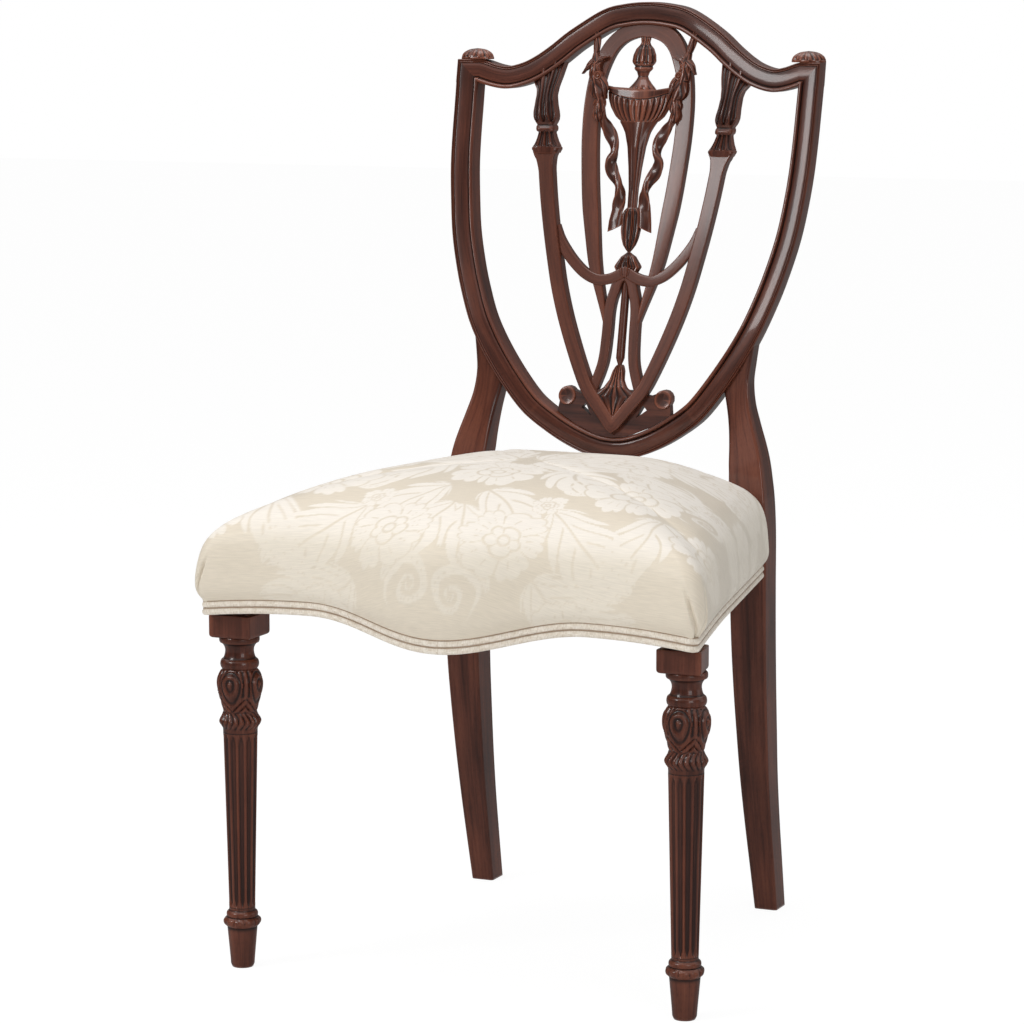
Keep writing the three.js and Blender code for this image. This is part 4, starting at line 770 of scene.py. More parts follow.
def makeCapital():
    ups = np.linspace(capital["widths"][0][0], capital["widths"][-1][0], capital["rows"])
    u = np.linspace(-1, 1, capital["columns"])
    rings = []
    for up in ups:
        width = straightAt(capital["widths"], up)
        bulge = straightAt(capital["bulges"], up)
        relief = capitalRelief(u, up)
        middle = smoothAt(capital["centre"], up) * shieldHalfWidth
        across = middle + u * (width + 0.25 * relief * u**2)
        front = 2.6 * np.abs(u)**7 - bulge * (1 - np.abs(u)**3) - relief
        x = np.concatenate([across, across[::-5]])
        lean = np.clip((up - capital["leansFrom"]) / 0.05, 0, 1)
        z = heightOf(up) + lean * (crestSill(x) - crestSill(middle))
        depth = np.concatenate([front, np.full(len(across[::-5]), capital["depth"])])
        rings.append(np.column_stack([x, splatFace(x, z) + depth, z]))
    return rolled(tucked(np.array(rings), capital["tuck"]))


makeBars()
print("splat bars made")


# Round and oval pieces on the splat

def ovalRings(rows, count, sides, middle, shape=None):
    # rows of [height, half width, half depth]; shape moves the surface outwards at an angle and a height
    rows = np.array(rows, float)
    heights = np.linspace(rows[0, 0], rows[-1, 0], count)
    angle = 2 * pi * np.arange(sides) / sides
    rings = []
    for z in heights:
        wide = straightAt(rows[:, :2], z)
        deep = straightAt(rows[:, [0, 2]], z)
        out = shape(angle, z) if shape else 0
        x = np.cos(angle) * (wide + out)
        y = splatFace(x, z) + middle + np.sin(angle) * (deep + out)
        rings.append(np.column_stack([x, y, np.full_like(x, z)]))
    return np.array(rings)


core = {
    "setback": 11.5,
    "rod": [[576.5, 2], [579.4, 2.4], [581.8, 2.9], [584, 4.7], [667, 4.4]],
    "stem": [[0.548, 5.2], [0.552, 5.4], [0.6, 5.6], [0.651, 7.5], [0.702, 10.4], [0.736, 14.6], [0.75, 18],
             [0.7635, 22.1]],
    "lid": [
        [0.838, 16.9], [0.8415, 16.2], [0.8465, 14.5], [0.855, 10.6], [0.866, 6.9], [0.873, 5.6],
        [0.884, 7.3], [0.889, 9.6], [0.893, 10.6], [0.897, 9.9], [0.8985, 10], [0.903, 11.9],
        [0.91, 13.2], [0.925, 12.5], [0.94, 9.8], [0.948, 6.6], [0.956, 4.8], [0.963, 5.5], [0.972, 5.8],
    ],
    "drop": [[0.447, 1.6], [0.452, 3.4], [0.464, 7], [0.48, 9.6], [0.5, 11.3], [0.525, 11.2], [0.541, 10.6],
             [0.548, 8.8], [0.553, 6.6], [0.556, 5]],
    "bell": [[0.39, 10.6], [0.4, 12.4], [0.411, 15.4], [0.416, 14.4], [0.425, 11.5], [0.436, 8.2],
             [0.443, 3.8], [0.4465, 1.9]],
}


def coreOval(name, count, sides, deepest, shape, flatter=1):
    # a piece from its rows of height share and half width, no deeper than the given value
    rows = [[heightOf(up), wide, min(wide, deepest) * flatter] for up, wide in core[name]]
    return rolled(ovalRings(rows, count, sides, core["setback"], shape))


def makeCore():
    rings = ovalRings([[z, r, r] for z, r in core["rod"]], 30, 24, core["setback"])
    finishPiece("centreRod", rolled(rings), mahogany, "mahogany", ["centre_rod"])

    def stemShape(angle, z):
        # four thin ridges with hollow faces between them
        share = (z - heightOf(0.548)) / (heightOf(0.7635) - heightOf(0.548))
        aside = np.abs(angle - 1.5 * pi)
        ridges = np.exp(-((aside - 0.3) / 0.09)**2) + np.exp(-((aside - 1.2) / 0.12)**2)
        return (0.5 + 1.1 * share) * (ridges - 0.6)

    bm = coreOval("stem", 60, 64, 9.5, stemShape)
    finishPiece("urnStem", bm, mahogany, "mahogany", ["urn_stem"])

    def lidShape(angle, z):
        up = (z - shieldSill) / shieldRise
        away = np.abs((4 * angle / pi) % 1 - 0.5) * 2.1
        leaves = np.clip(min(up - 0.9, 0.952 - up) / 0.006, 0, 1) * petalRelief(away, 1.9)
        beads = np.clip(min(up - 0.95, 0.972 - up) / 0.004, 0, 1) * (np.abs(np.cos(6 * angle)) - 0.6) * 0.9
        foot = np.clip((0.853 - up) / 0.006, 0, 1) * (np.abs(np.cos(6 * angle)) - 1) * 1.1
        return leaves + beads + foot

    bm = coreOval("lid", 110, 80, 13.2, lidShape, flatter=0.62)
    finishPiece("urnLid", bm, carvedMahogany, "carved_mahogany", ["urn_lid"])

    def petals(count, lowest, highest, deep):
        def shape(angle, z):
            share = (z - heightOf(lowest)) / (heightOf(highest) - heightOf(lowest))
            away = np.abs((count * (angle - 1.5 * pi) / (2 * pi) + 0.5) % 1 - 0.5) * 2.1
            groove = -deep * np.exp(-((away - 1.05) / 0.13)**2)
            return np.sin(pi * np.clip(share, 0, 1))**0.5 * (0.7 * petalRelief(away, deep) + groove)
        return shape

    bm = coreOval("drop", 70, 108, 7.4, petals(9, 0.447, 0.556, 3))
    finishPiece("bellflowerDrop", bm, carvedMahogany, "carved_mahogany", ["bellflower_drop"])
    bm = coreOval("bell", 60, 120, 9.6, petals(9, 0.36, 0.4465, 3.2))
    finishPiece("leafBell", bm, carvedMahogany, "carved_mahogany", ["leaf_bell"])


# Urn bowl with its gadroons

bowl = {
    "body": [[0.7635, 21], [0.768, 23.6], [0.775, 27.2], [0.79, 33], [0.803, 36.2], [0.8155, 37.7],
             [0.818, 36.6], [0.8195, 38.4], [0.821, 40], [0.836, 40.4], [0.839, 39.6]],
    "crescent": [[0.7635, 0], [0.775, 0.1], [0.79, 0.7], [0.8155, 1.9], [0.821, 2], [0.836, 1.05],
                 [0.839, 1]],
    "crescentRise": 4.7,
    "gadroons": 15,
    "lowest": 0.7645,
    "highest": 0.8165,
    "deep": 2.6,
    "lean": 1.1,
    "widest": 40,
    "frontReach": 11.5,
    "reachShare": 0.175,
    "backFace": 15,
}


def makeBowl():
    ups = np.linspace(bowl["body"][0][0], bowl["body"][-1][0], 64)
    front = np.linspace(0, pi, 241)
    rings = []
    for up in ups:
        wide = straightAt(bowl["body"], up)
        rise = bowl["crescentRise"] * straightAt(bowl["crescent"], up)
        share = np.clip((up - bowl["lowest"]) / (bowl["highest"] - bowl["lowest"]), 0, 1)
        swell = np.sin(pi * share)**0.4 if 0 < share < 1 else 0
        turned = bowl["gadroons"] * front + bowl["lean"] * (1 - share) * np.cos(front)
        lobe = bowl["deep"] * swell * (np.abs(np.sin(turned))**0.8 - 0.7)
        out = wide + lobe
        reach = bowl["frontReach"] + (wide - bowl["widest"]) * bowl["reachShare"] + lobe
        x = -np.cos(front) * out
        z = heightOf(up) + rise * np.cos(front)**2
        y = splatFace(x, z) + core["setback"] - np.sin(front) * reach
        backX = np.linspace(x[-1], x[0], 62)
        backZ = heightOf(up) + rise * (backX / out.max())**2
        backX[[0, -1]], backZ[[0, -1]] = x[[-1, 0]], z[[-1, 0]]
        back = np.column_stack([backX, splatFace(backX, backZ) + bowl["backFace"], backZ])
        rings.append(np.vstack([np.column_stack([x, y, z]), back]))
    finishPiece("urnBowl", rolled(np.array(rings)), carvedMahogany, "carved_mahogany", ["urn_bowl"])


makeCore()
makeBowl()
print("urn made")


# Leaves, ribbons and scrolls of the splat

def leafRings(spine, widths, front, depth, lobes=5, count=110, veins=1.9, lobeDeep=0.4):
    # a carved leaf along a line of the front view: notched edges, side veins and a raised middle rib
    places, ahead = curveThrough(spine, count)
    across = acrossOf(ahead)
    side = np.linspace(-1, 1, 25)
    rings = []
    for i, (place, direction) in enumerate(zip(places, across)):
        share = i / (count - 1)
        notch = 1 - lobeDeep * (1 - np.abs(np.sin(pi * lobes * share + 0.6))**0.6)
        half = straightAt(widths, share) * notch
        u = side * half
        lean = share * lobes - 0.75 * np.abs(side)
        ribs = np.abs(np.sin(pi * lean))**0.6
        dome = 1 - np.abs(side)**2.2
        middle = 0.8 * np.exp(-(side * 6)**2)
        rise = depth * (0.42 + 0.5 * dome) + veins * (ribs - 0.6) * np.abs(side)**0.4 + middle
        x = np.concatenate([place[0] + direction[0] * u, (place[0] + direction[0] * u * 0.9)[::-3]])
        z = np.concatenate([place[1] + direction[1] * u, (place[1] + direction[1] * u * 0.9)[::-3]])
        w = np.concatenate([front + depth - rise, np.full(len(side[::-3]), front + depth)])
        rings.append(np.column_stack([x, splatFace(x, z) + w, z]))
    return np.array(rings)


bracket = {
    "front": -3.4,
    "depth": 7,
    "tuck": 12,
    "scroll": [0.254, 0.876],
    "scrollRadius": 4.6,
    # radius share, and depth share from the front
    "scrollRows": [[0.02, 0.05], [0.3, 0], [0.42, 0.1], [0.48, 0.3], [0.56, 0.12], [0.8, 0.05], [0.95, 0.2],
                   [1, 0.5], [0.95, 1], [0.02, 1]],
    # each leaf: places along its middle, half widths along it, lobes
    "leaves": [
        [[[0.31, 0.985], [0.293, 0.935], [0.284, 0.91], [0.278, 0.885]],
         [[0, 3.4], [0.4, 4.4], [0.8, 5.6], [1, 5]], 1.5],
        [[[0.284, 0.902], [0.274, 0.866], [0.25, 0.834], [0.232, 0.81], [0.228, 0.785]],
         [[0, 5], [0.3, 8], [0.6, 9], [0.85, 6.4], [1, 2.6]], 2.6],
        [[[0.229, 0.825], [0.243, 0.802], [0.245, 0.783], [0.236, 0.762]],
         [[0, 4], [0.4, 6.8], [0.75, 5.2], [1, 1.6]], 1.6],
        [[[0.285, 0.912], [0.313, 0.901], [0.335, 0.891], [0.354, 0.879]],
         [[0, 5.2], [0.5, 4], [1, 0.7]], 1],
        [[[0.29, 0.896], [0.262, 0.912], [0.236, 0.917], [0.202, 0.921]],
         [[0, 5], [0.5, 4.2], [1, 0.7]], 1],
        [[[0.25, 0.87], [0.228, 0.861], [0.211, 0.843], [0.198, 0.818]],
         [[0, 4.4], [0.5, 4.6], [1, 1]], 1],
    ],
}


def discOn(centre, radius, front, depth, rows, face=splatFace):
    # a round boss turned about the line of sight: rows of [radius share, depth share from the front]
    angle = 2 * pi * np.arange(40) / 40
    rings = []
    for out, down in rows:
        x = centre[0] + np.cos(angle) * radius * out
        z = centre[1] + np.sin(angle) * radius * out
        rings.append(np.column_stack([x, face(x, z) + front + depth * down, z]))
    return np.array(rings)


def makeBrackets():
    drafts = []
    for spine, widths, lobes in bracket["leaves"]:
        rings = leafRings(backPlaces(spine), widths, bracket["front"], bracket["depth"], lobes)
        drafts.append(rolled(tucked(rings, bracket["tuck"])))
    centre = backPlaces([bracket["scroll"]])[0]
    rings = discOn(centre, bracket["scrollRadius"], bracket["front"] - 0.8, bracket["depth"],
                   bracket["scrollRows"])
    drafts.append(rolled(rings))
    finishPair("leafBracket", joinDrafts(drafts), carvedMahogany, "carved_mahogany", ["leaf_bracket"])


ribbon = {
    "line": [
        [0.246, 0.795], [0.218, 0.768], [0.179, 0.742], [0.141, 0.712], [0.134, 0.688], [0.15, 0.664],
        [0.134, 0.64], [0.096, 0.615], [0.076, 0.588], [0.082, 0.557], [0.089, 0.535], [0.096, 0.503],
    ],
    "halfWidth": 7.2,
    "halfDepth": 4.6,
    "halfTurns": 3,
    "pinch": 0.4,
    "setback": 7.5,
    "cuff": 0.86,
    "slant": 0.55,
    "slantRows": 20,
}


def makeRibbons():
    angle = 2 * pi * np.arange(36) / 36

    def sectionAt(share):
        # a band twisted on itself, which opens into a pointed cuff at its end
        twist = pi * ribbon["halfTurns"] * min(share / ribbon["cuff"], 1) + 0.4
        opened = np.clip((share - ribbon["cuff"]) / 0.07, 0, 1)
        pinch = ribbon["pinch"] * (1 - opened)
        out = 1 - pinch * np.abs(np.sin(angle - twist))**1.2
        ridge = 0.09 * np.exp(-((np.cos(angle - twist + 0.9)) / 0.16)**2)
        u = np.cos(angle) * (out + ridge) * ribbon["halfWidth"] * (1 + 0.06 * opened)
        w = np.sin(angle) * (out + ridge) * ribbon["halfDepth"] * (1 - 0.2 * opened)
        return np.column_stack([u, w + ribbon["setback"]])

    places, ahead = curveThrough(backPlaces(ribbon["line"]), 150)
    rings = barRings(places, acrossOf(ahead), sectionAt, splatFace)
    # the cuff's end is cut at a slant, longer on the outer side
    fromEnd = np.arange(len(rings))[::-1]
    slant = ribbon["slant"] * np.clip(1 - fromEnd / ribbon["slantRows"], 0, 1)[:, None]
    rings[:, :, 2] -= slant * (rings[:, :, 0] - places[:, :1])
    finishPair("ribbon", rolled(rings), carvedMahogany, "carved_mahogany", ["ribbon"])


fan = {
    "rows": [[0.045, 1.6], [0.07, 13], [0.1, 28.4], [0.107, 23], [0.121, 13.7], [0.14, 8.4], [0.16, 6.5],
             [0.17, 4.2], [0.174, 2.6]],
    "flutes": 5,
    # where the front and the back lie behind the sheet, at the top and lower down
    "top": (6.7, 16.3),
    "low": (1.4, 4.6),
    "topRun": 0.05,
}


def makeFan():
    ups = np.linspace(fan["rows"][0][0], fan["rows"][-1][0], 70)
    side = np.linspace(-1, 1, 61)
    rings = []
    for up in ups:
        z = heightOf(up)
        x = side * straightAt(fan["rows"], up)
        groove = np.abs(np.cos(pi * np.abs(side)**0.85 * fan["flutes"] / 2))**0.6
        lift = np.clip((ups[-1] - up) / fan["topRun"], 0, 1)
        face, back = np.array(fan["top"]) * (1 - lift) + np.array(fan["low"]) * lift
        front = face + 2.2 * (1 - groove) + 1.5 * np.abs(side)**4
        xs = np.concatenate([x, x[::-6]])
        ws = np.concatenate([front, np.full(len(x[::-6]), max(back, front.max() + 0.5))])
        rings.append(np.column_stack([xs, splatFace(xs, z) + ws, np.full_like(xs, z)]))
    finishPiece("fanLeaf", rolled(np.array(rings)), carvedMahogany, "carved_mahogany", ["fan_leaf"])


shoeScroll = {
    "centre": [0.301, 0.0972], "radius": 9.8, "front": 3.2, "depth": 10,
    "rows": [[0.02, 0.04], [0.6, 0.03], [0.9, 0], [0.97, 0.05], [1, 0.14], [1, 0.95], [0.02, 1]],
}


def makeShoe():
    nodes["splat_shoe"].data.materials[0] = mahoganyAcross
    centre = backPlaces([shoeScroll["centre"]])[0]
    rings = discOn(centre, shoeScroll["radius"], shoeScroll["front"], shoeScroll["depth"], shoeScroll["rows"],
                   lambda x, z: splatFace(0, z) + 0 * x)
    finishPair("shoeScroll", rolled(rings), carvedMahogany, "carved_mahogany")


makeBrackets()
makeRibbons()
makeFan()
makeShoe()
print("carved leaves made")


# Ear rosettes

rosette = {"height": 11.6, "halfWidth": 18.6, "halfDepth": 11.6, "overhang": 1,
           "rows": [[0, 1], [0.14, 1], [0.32, 0.97], [0.56, 0.86], [0.78, 0.65], [0.93, 0.38], [1, 0.03]]}


def makeRosettes():
    centreX = mitre[0] + rosette["overhang"] - (rosette["halfWidth"] - halfFrame)
    base = mitre[1] + halfFrame
    angle = 2 * pi * np.arange(96) / 96
    rings = []
    for up in np.linspace(0, 1, 40):
        out = smoothAt(rosette["rows"], up)
        fade = np.clip(min(up - 0.14, 1.04 - up) / 0.12, 0, 1)
        petals = np.abs(np.cos(5 * angle + 1.6 * up))**0.55
        reach = out * (1 - 0.13 * fade * (1 - petals) + 0.03 * fade * np.cos(20 * angle))
        x = centreX + np.cos(angle) * reach * rosette["halfWidth"]
        y = shieldFace(centreX, base) + shield["depth"] / 2 + np.sin(angle) * reach * rosette["halfDepth"]
        z = base + up * rosette["height"] + 0 * x
        rings.append(np.column_stack([x, y, z]))
    finishPair("earRosette", rolled(np.array(rings)), carvedMahogany, "carved_mahogany", ["ear_rosette"])


makeRosettes()


# Front legs

frontLeg = {
    "reach": 238.4,
    "steps": 144,
    # height and radius, in runs that meet at sharp lines
    "foot": [[0, 10.6], [1.2, 11.6], [8, 12.2], [25, 13.7], [41.8, 15.2]],
    "ankle": [[41.8, 15.4], [42.6, 16.4], [44.6, 18.4], [47, 19.1], [49.2, 18.6], [51, 16.6], [51.8, 15.2]],
    "ankleRing": [[51.8, 15.2], [53, 15.7], [55, 15.8], [57, 15.1], [58.4, 13.4], [62, 13.1]],
    "shaft": [[62, 13.2], [240, 17.3]],
    "collar": [[240, 17.2], [244.6, 17.4], [246.4, 18], [248.5, 19.3], [251.8, 20.3], [255, 19.2],
               [258, 17.6], [261.9, 16.7]],
    "bulb": [[261.9, 16.7], [266, 17.4], [272, 19], [279, 21.1], [285, 22.2], [290, 22.5], [295, 22],
             [300, 20.4], [305, 17.3]],
    "torus": [[305, 17.2], [306.4, 18.5], [309, 19.3], [311.5, 19.2], [313.8, 18.4], [315.3, 16.6]],
    "neck": [[315.3, 16.4], [318, 15.2], [323, 14.3], [327, 15], [330.4, 17.2], [331.6, 19.2]],
    "disc": [[331.6, 19.4], [332.6, 20], [334.6, 20.2], [336.6, 20], [337.6, 19.4]],
    "runs": {"foot": 14, "ankle": 16, "ankleRing": 12, "shaft": 60, "collar": 22, "bulb": 64, "torus": 14,
             "neck": 14, "disc": 6},
    "carved": {"bulb": (262, 305), "collar": (244.6, 261.9), "ankle": (43, 51.5)},
    "flutes": 12,
    "fluteHalf": 0.39,
    "fluteEnd": 5.5,
    "mapRadius": 18,
    "fluteDepth": 1.9,
    "fluteFrom": 64,
    "fluteTo": 238,
}


def bulbRelief(quarter, share):
    # four pointed ovals with ringed eyes, stems between them, and veined leaves below
    side = np.abs(quarter) / (pi / 4)
    oval = np.hypot(side / 0.74, (share - 0.68) / (0.3 if share > 0.68 else 0.5))
    rings = 0.95 * np.cos(2 * pi * oval * 1.75) * np.clip((1.16 - oval) / 0.1, 0, 1)
    stems = 0.8 * np.cos(2 * pi * (side - 1) * 2.6) - 0.2
    leaves = 2.2 * (np.abs(np.sin(pi * (share * 5.5 - side * 1.9)))**0.7 - 0.65)
    low = np.clip((0.42 - share) / 0.14, 0, 1)
    around = stems * (1 - low) + leaves * low
    relief = np.where(oval < 1.06, rings, around - 0.2)
    return relief * np.clip(min(share, 1 - share) / 0.05, 0, 1)


def collarRelief(angle, share):
    # a wreath of leaf tips that bend outwards and down
    turned = 10 * angle + 2.5 * np.sin(pi * share)
    tips = np.abs(np.cos(turned))**0.6
    return 1.6 * np.sin(pi * share)**0.6 * (tips - 0.7) + 0.4 * np.cos(2 * turned) * np.sin(pi * share)


def legRelief(angle, z):
    # carving and flutes, as a move outwards from the turned shape
    out = 0 * angle
    if frontLeg["fluteFrom"] < z < frontLeg["fluteTo"]:
        period = 2 * pi / frontLeg["flutes"]
        local = (angle + period / 2) % period - period / 2
        half = period * frontLeg["fluteHalf"]
        end = min(z - frontLeg["fluteFrom"], frontLeg["fluteTo"] - z) / frontLeg["fluteEnd"]
        half *= np.sqrt(1 - (1 - min(end, 1))**2)
        out -= frontLeg["fluteDepth"] * np.sqrt(np.clip(1 - (local / max(half, 1e-6))**2, 0, 1))
    quarter = (angle + pi / 4) % (pi / 2) - pi / 4
    shares = {name: (z - low) / (high - low) for name, (low, high) in frontLeg["carved"].items()}
    if 0 < shares["bulb"] < 1:
        out += bulbRelief(quarter, shares["bulb"])
    if 0 < shares["collar"] < 1:
        out += collarRelief(angle, shares["collar"])
    if 0 < shares["ankle"] < 1:
        out += -1.5 * (1 - np.abs(np.cos(5 * angle))**0.6) * np.sin(pi * shares["ankle"])**0.6
    return out


def turnedLeg():
    # the profile is spun about the leg's own line, then carved
    bm = bmesh.new()
    verts = [bm.verts.new((0, 0, 0))]
    for run, count in frontLeg["runs"].items():
        rows = frontLeg[run]
        for z in np.linspace(rows[0][0], rows[-1][0], count):
            verts.append(bm.verts.new((smoothAt(rows, z), 0, z)))
    verts.append(bm.verts.new((0, 0, verts[-1].co.z)))
    for one, other in zip(verts, verts[1:]):
        bm.edges.new((one, other))
    bmesh.ops.spin(bm, geom=bm.verts[:] + bm.edges[:], axis=(0, 0, 1), cent=(0, 0, 0), angle=2 * pi,
                   steps=frontLeg["steps"], use_merge=True)
    bmesh.ops.remove_doubles(bm, verts=bm.verts, dist=0.001)
    spots = np.array([vert.co for vert in bm.verts])
    angles = np.arctan2(spots[:, 1], spots[:, 0])
    heights = np.round(spots[:, 2], 4)
    radii = np.hypot(spots[:, 0], spots[:, 1])
    bm.verts.ensure_lookup_table()
    for z in np.unique(heights):
        indexes = np.flatnonzero((heights == z) & (radii > 1))
        for index, out in zip(indexes, legRelief(angles[indexes], z)):
            bm.verts[index].co.xy = spots[index, :2] * (1 + out / radii[index])
    layer = bm.loops.layers.uv.new("grain")
    for face in bm.faces:
        middle = face.calc_center_median()
        turn = np.arctan2(middle.y, middle.x)
        for loop in face.loops:
            spot = loop.vert.co
            near = np.arctan2(spot.y, spot.x)
            near += 2 * pi * round((turn - near) / (2 * pi))
            loop[layer].uv = (near * frontLeg["mapRadius"] * mm, spot.z * mm)
    bmesh.ops.translate(bm, verts=bm.verts, vec=(frontLeg["reach"], frontLegLine, 0))
    return bm


block = {
    "outer": [261.4, 252.25], "inner": 215.4, "front": -19.5, "back": 25.5, "radius": 2.2,
    # height, and how far the sides are set in there
    "rows": [[337.5, 3.2], [337.9, 1.8], [338.8, 0.7], [340.2, 0.1], [342, 0], [350, 0], [359.6, 0],
             [360.5, 0.4], [361, 8], [446, 8]],
}


def legBlock():
    # four corners drawn up into the block, its edges rounded, its head set back under the seat cover
    plan = np.array([
        [block["inner"], block["front"]], [block["outer"][0], block["front"]],
        [block["outer"][1], block["back"]], [block["inner"], block["back"]],
    ])
    rings = []
    for z, inset in block["rows"]:
        ring = []
        for k, corner in enumerate(plan):
            before, after = plan[k - 1] - corner, plan[(k + 1) % 4] - corner
            before, after = before / np.linalg.norm(before), after / np.linalg.norm(after)
            inner = corner + (before + after) * inset
            for share in np.linspace(0, 1, 5):
                bend = (1 - share)**2 * before + share**2 * after
                ring.append((*(inner + bend * block["radius"]), z))
        rings.append(ring)
    return rolled(np.array(rings))


def makeFrontLegs():
    leg = joinDrafts([turnedLeg(), legBlock()])
    finishPair("frontLeg", leg, mahogany, "mahogany", ["front_leg"])


makeFrontLegs()
print("front legs made")


# Rear legs

rearLeg = {
    "centre": 163.73, "width": 39, "line": 369, "splay": 60, "depth": 35.5, "knee": 446,
    # below the knee: shares for height, shift, width, setback and depth
    "lower": [
        [0, 0.05, 0.65, 1, 0.83], [0.112, 0.044, 0.713, 0.783, 0.85], [0.224, 0.035, 0.772, 0.567, 0.88],
        [0.336, 0.027, 0.833, 0.38, 0.92], [0.448, 0.027, 0.895, 0.233, 0.96],
        [0.56, 0.025, 0.949, 0.108, 0.99], [0.673, 0.015, 0.995, 0.033, 1], [0.8, 0, 1.03, 0, 1],
        [0.92, -0.02, 1.055, 0, 1], [1, -0.055, 1.04, 0, 1],
    ],
    # from knee to shield: shares of the way for height, inner side, outer side and depth
    "upper": [
        [0.14, 0.04, 0.14, 0.09], [0.25, 0.1, 0.29, 0.19], [0.35, 0.19, 0.5, 0.31],
        [0.484, 0.28, 0.84, 0.48], [0.614, 0.4, 1.13, 0.65], [0.745, 0.56, 1.24, 0.8],
        [0.86, 0.74, 1.16, 0.91], [1, 1, 1, 1],
    ],
    "innerJoint": 0.3,
    "outerJoint": 0.425,
    "radius": 3,
}


def makeRearLegs():
    rows = []
    for up, shift, width, setback, depth in rearLeg["lower"]:
        centre = rearLeg["centre"] + shift * rearLeg["width"]
        half = width * rearLeg["width"] / 2
        front = rearLeg["line"] + setback * rearLeg["splay"]
        height = up * rearLeg["knee"]
        rows.append([centre - half, centre + half, front, front + depth * rearLeg["depth"], height, height])
    knee = np.array(rows[-1])
    outer = shield["width"] - 1.2
    inner = frameLine(outer, 3, (rearLeg["innerJoint"], rearLeg["outerJoint"]))[0]
    joint = [inner[0, 0], inner[-1, 0], shieldFace(*inner[-1]), 0, inner[0, 1], inner[-1, 1]]
    for rise, innerShare, outerShare, depthShare in rearLeg["upper"]:
        front = knee[2] + (joint[2] - knee[2]) * depthShare
        rows.append([
            knee[0] + (joint[0] - knee[0]) * innerShare, knee[1] + (joint[1] - knee[1]) * outerShare,
            front, front + rearLeg["depth"] + (shield["depth"] - rearLeg["depth"]) * depthShare,
            knee[4] + (joint[4] - knee[4]) * rise, knee[5] + (joint[5] - knee[5]) * rise,
        ])
    rows = np.array(rows)
    rows[-1] += (0.3, -0.3, 0.3, -0.3, 0, 0)
    at = np.linspace(0, len(rows) - 1, 110)
    order = np.arange(len(rows))
    fine = np.column_stack([smoothAt(np.column_stack([order, column]), at) for column in rows.T])
    rings = []
    for low, high, front, back, lowZ, highZ in fine:
        section = roundedSection(high - low, front, back - front, rearLeg["radius"])
        x = section[:, 0] + (low + high) / 2
        z = lowZ + (highZ - lowZ) * (x - low) / (high - low)
        rings.append(np.column_stack([x, section[:, 1], z]))
    finishPair("rearLeg", rolled(np.array(rings)), mahogany, "mahogany", ["rear_leg"])


makeRearLegs()
print("rear legs made")


# Seat plan

seat = {
    "height": 368, "frontLine": -28, "bow": 26, "bowReach": 147, "flare": 10, "halfWidth": 263,
    "slope": np.tan(radians(11.5)), "cornerRadius": 9, "rearLine": 369, "bowDrop": 23, "cornerDrop": 6,
    "crown": 501, "sideTop": 421, "bulge": 6,
}


def bowShare(x):
    return np.where(np.abs(x) < seat["bowReach"], (1 + np.cos(pi * x / seat["bowReach"])) / 2, 0)


def flareShare(x):
    return np.clip((np.abs(x) - seat["bowReach"]) / (seat["halfWidth"] - seat["bowReach"]), 0, None)**2


def frontLine(x):
    return seat["frontLine"] - seat["bow"] * bowShare(x) - seat["flare"] * flareShare(x)


def weltHeight(x, y):
    onFront = np.clip(1 - (y - seat["frontLine"]) / seat["bowReach"], 0, 1)
    return seat["height"] - (seat["bowDrop"] * bowShare(x) + seat["cornerDrop"] * flareShare(x)) * onFront


def halfPlan(tail=()):
    # the right side of the seat's outline, from the middle of the front to the rear leg
    cornerX = seat["halfWidth"] - seat["cornerRadius"]
    x = np.linspace(0, cornerX, 60)
    front = np.column_stack([x, frontLine(x)])
    angle = np.radians(np.linspace(-90, 11.5, 14)[1:])
    centre = front[-1] + (0, seat["cornerRadius"])
    corner = centre + seat["cornerRadius"] * np.column_stack([np.cos(angle), np.sin(angle)])
    endY = seat["rearLine"] - (0.3 if not len(tail) else 6)
    y = np.linspace(corner[-1, 1], endY, 60)[1:]
    side = np.column_stack([corner[-1, 0] - seat["slope"] * (y - corner[-1, 1]), y])
    return np.vstack([front, corner, side] + ([tail] if len(tail) else []))


def outwards(points, closed):
    # the sideways direction of a plan line, to its right as it runs
    if closed:
        run = np.roll(points, -1, axis=0) - np.roll(points, 1, axis=0)
    else:
        run = np.gradient(points, axis=0)
    run /= np.linalg.norm(run, axis=1)[:, None]
    return np.column_stack([run[:, 1], -run[:, 0]])


# Welts

welt = {"radius": 3.4, "gap": 0.3, "steps": 260, "sides": 16, "backReach": 141, "backLine": 406.9}
seam = {"radius": 0.75, "out": -1.7, "sides": 8}


def cordRings(line, radius, sides):
    ahead = np.gradient(line, axis=0)
    out = np.column_stack([ahead[:, 1], -ahead[:, 0], 0 * ahead[:, 0]])
    out /= np.linalg.norm(out, axis=1)[:, None]
    up = np.array([0, 0, 1])
    angle = 2 * pi * np.arange(sides) / sides
    return np.array([
        place + radius * (np.cos(angle)[:, None] * side + np.sin(angle)[:, None] * up)
        for place, side in zip(line, out)
    ])


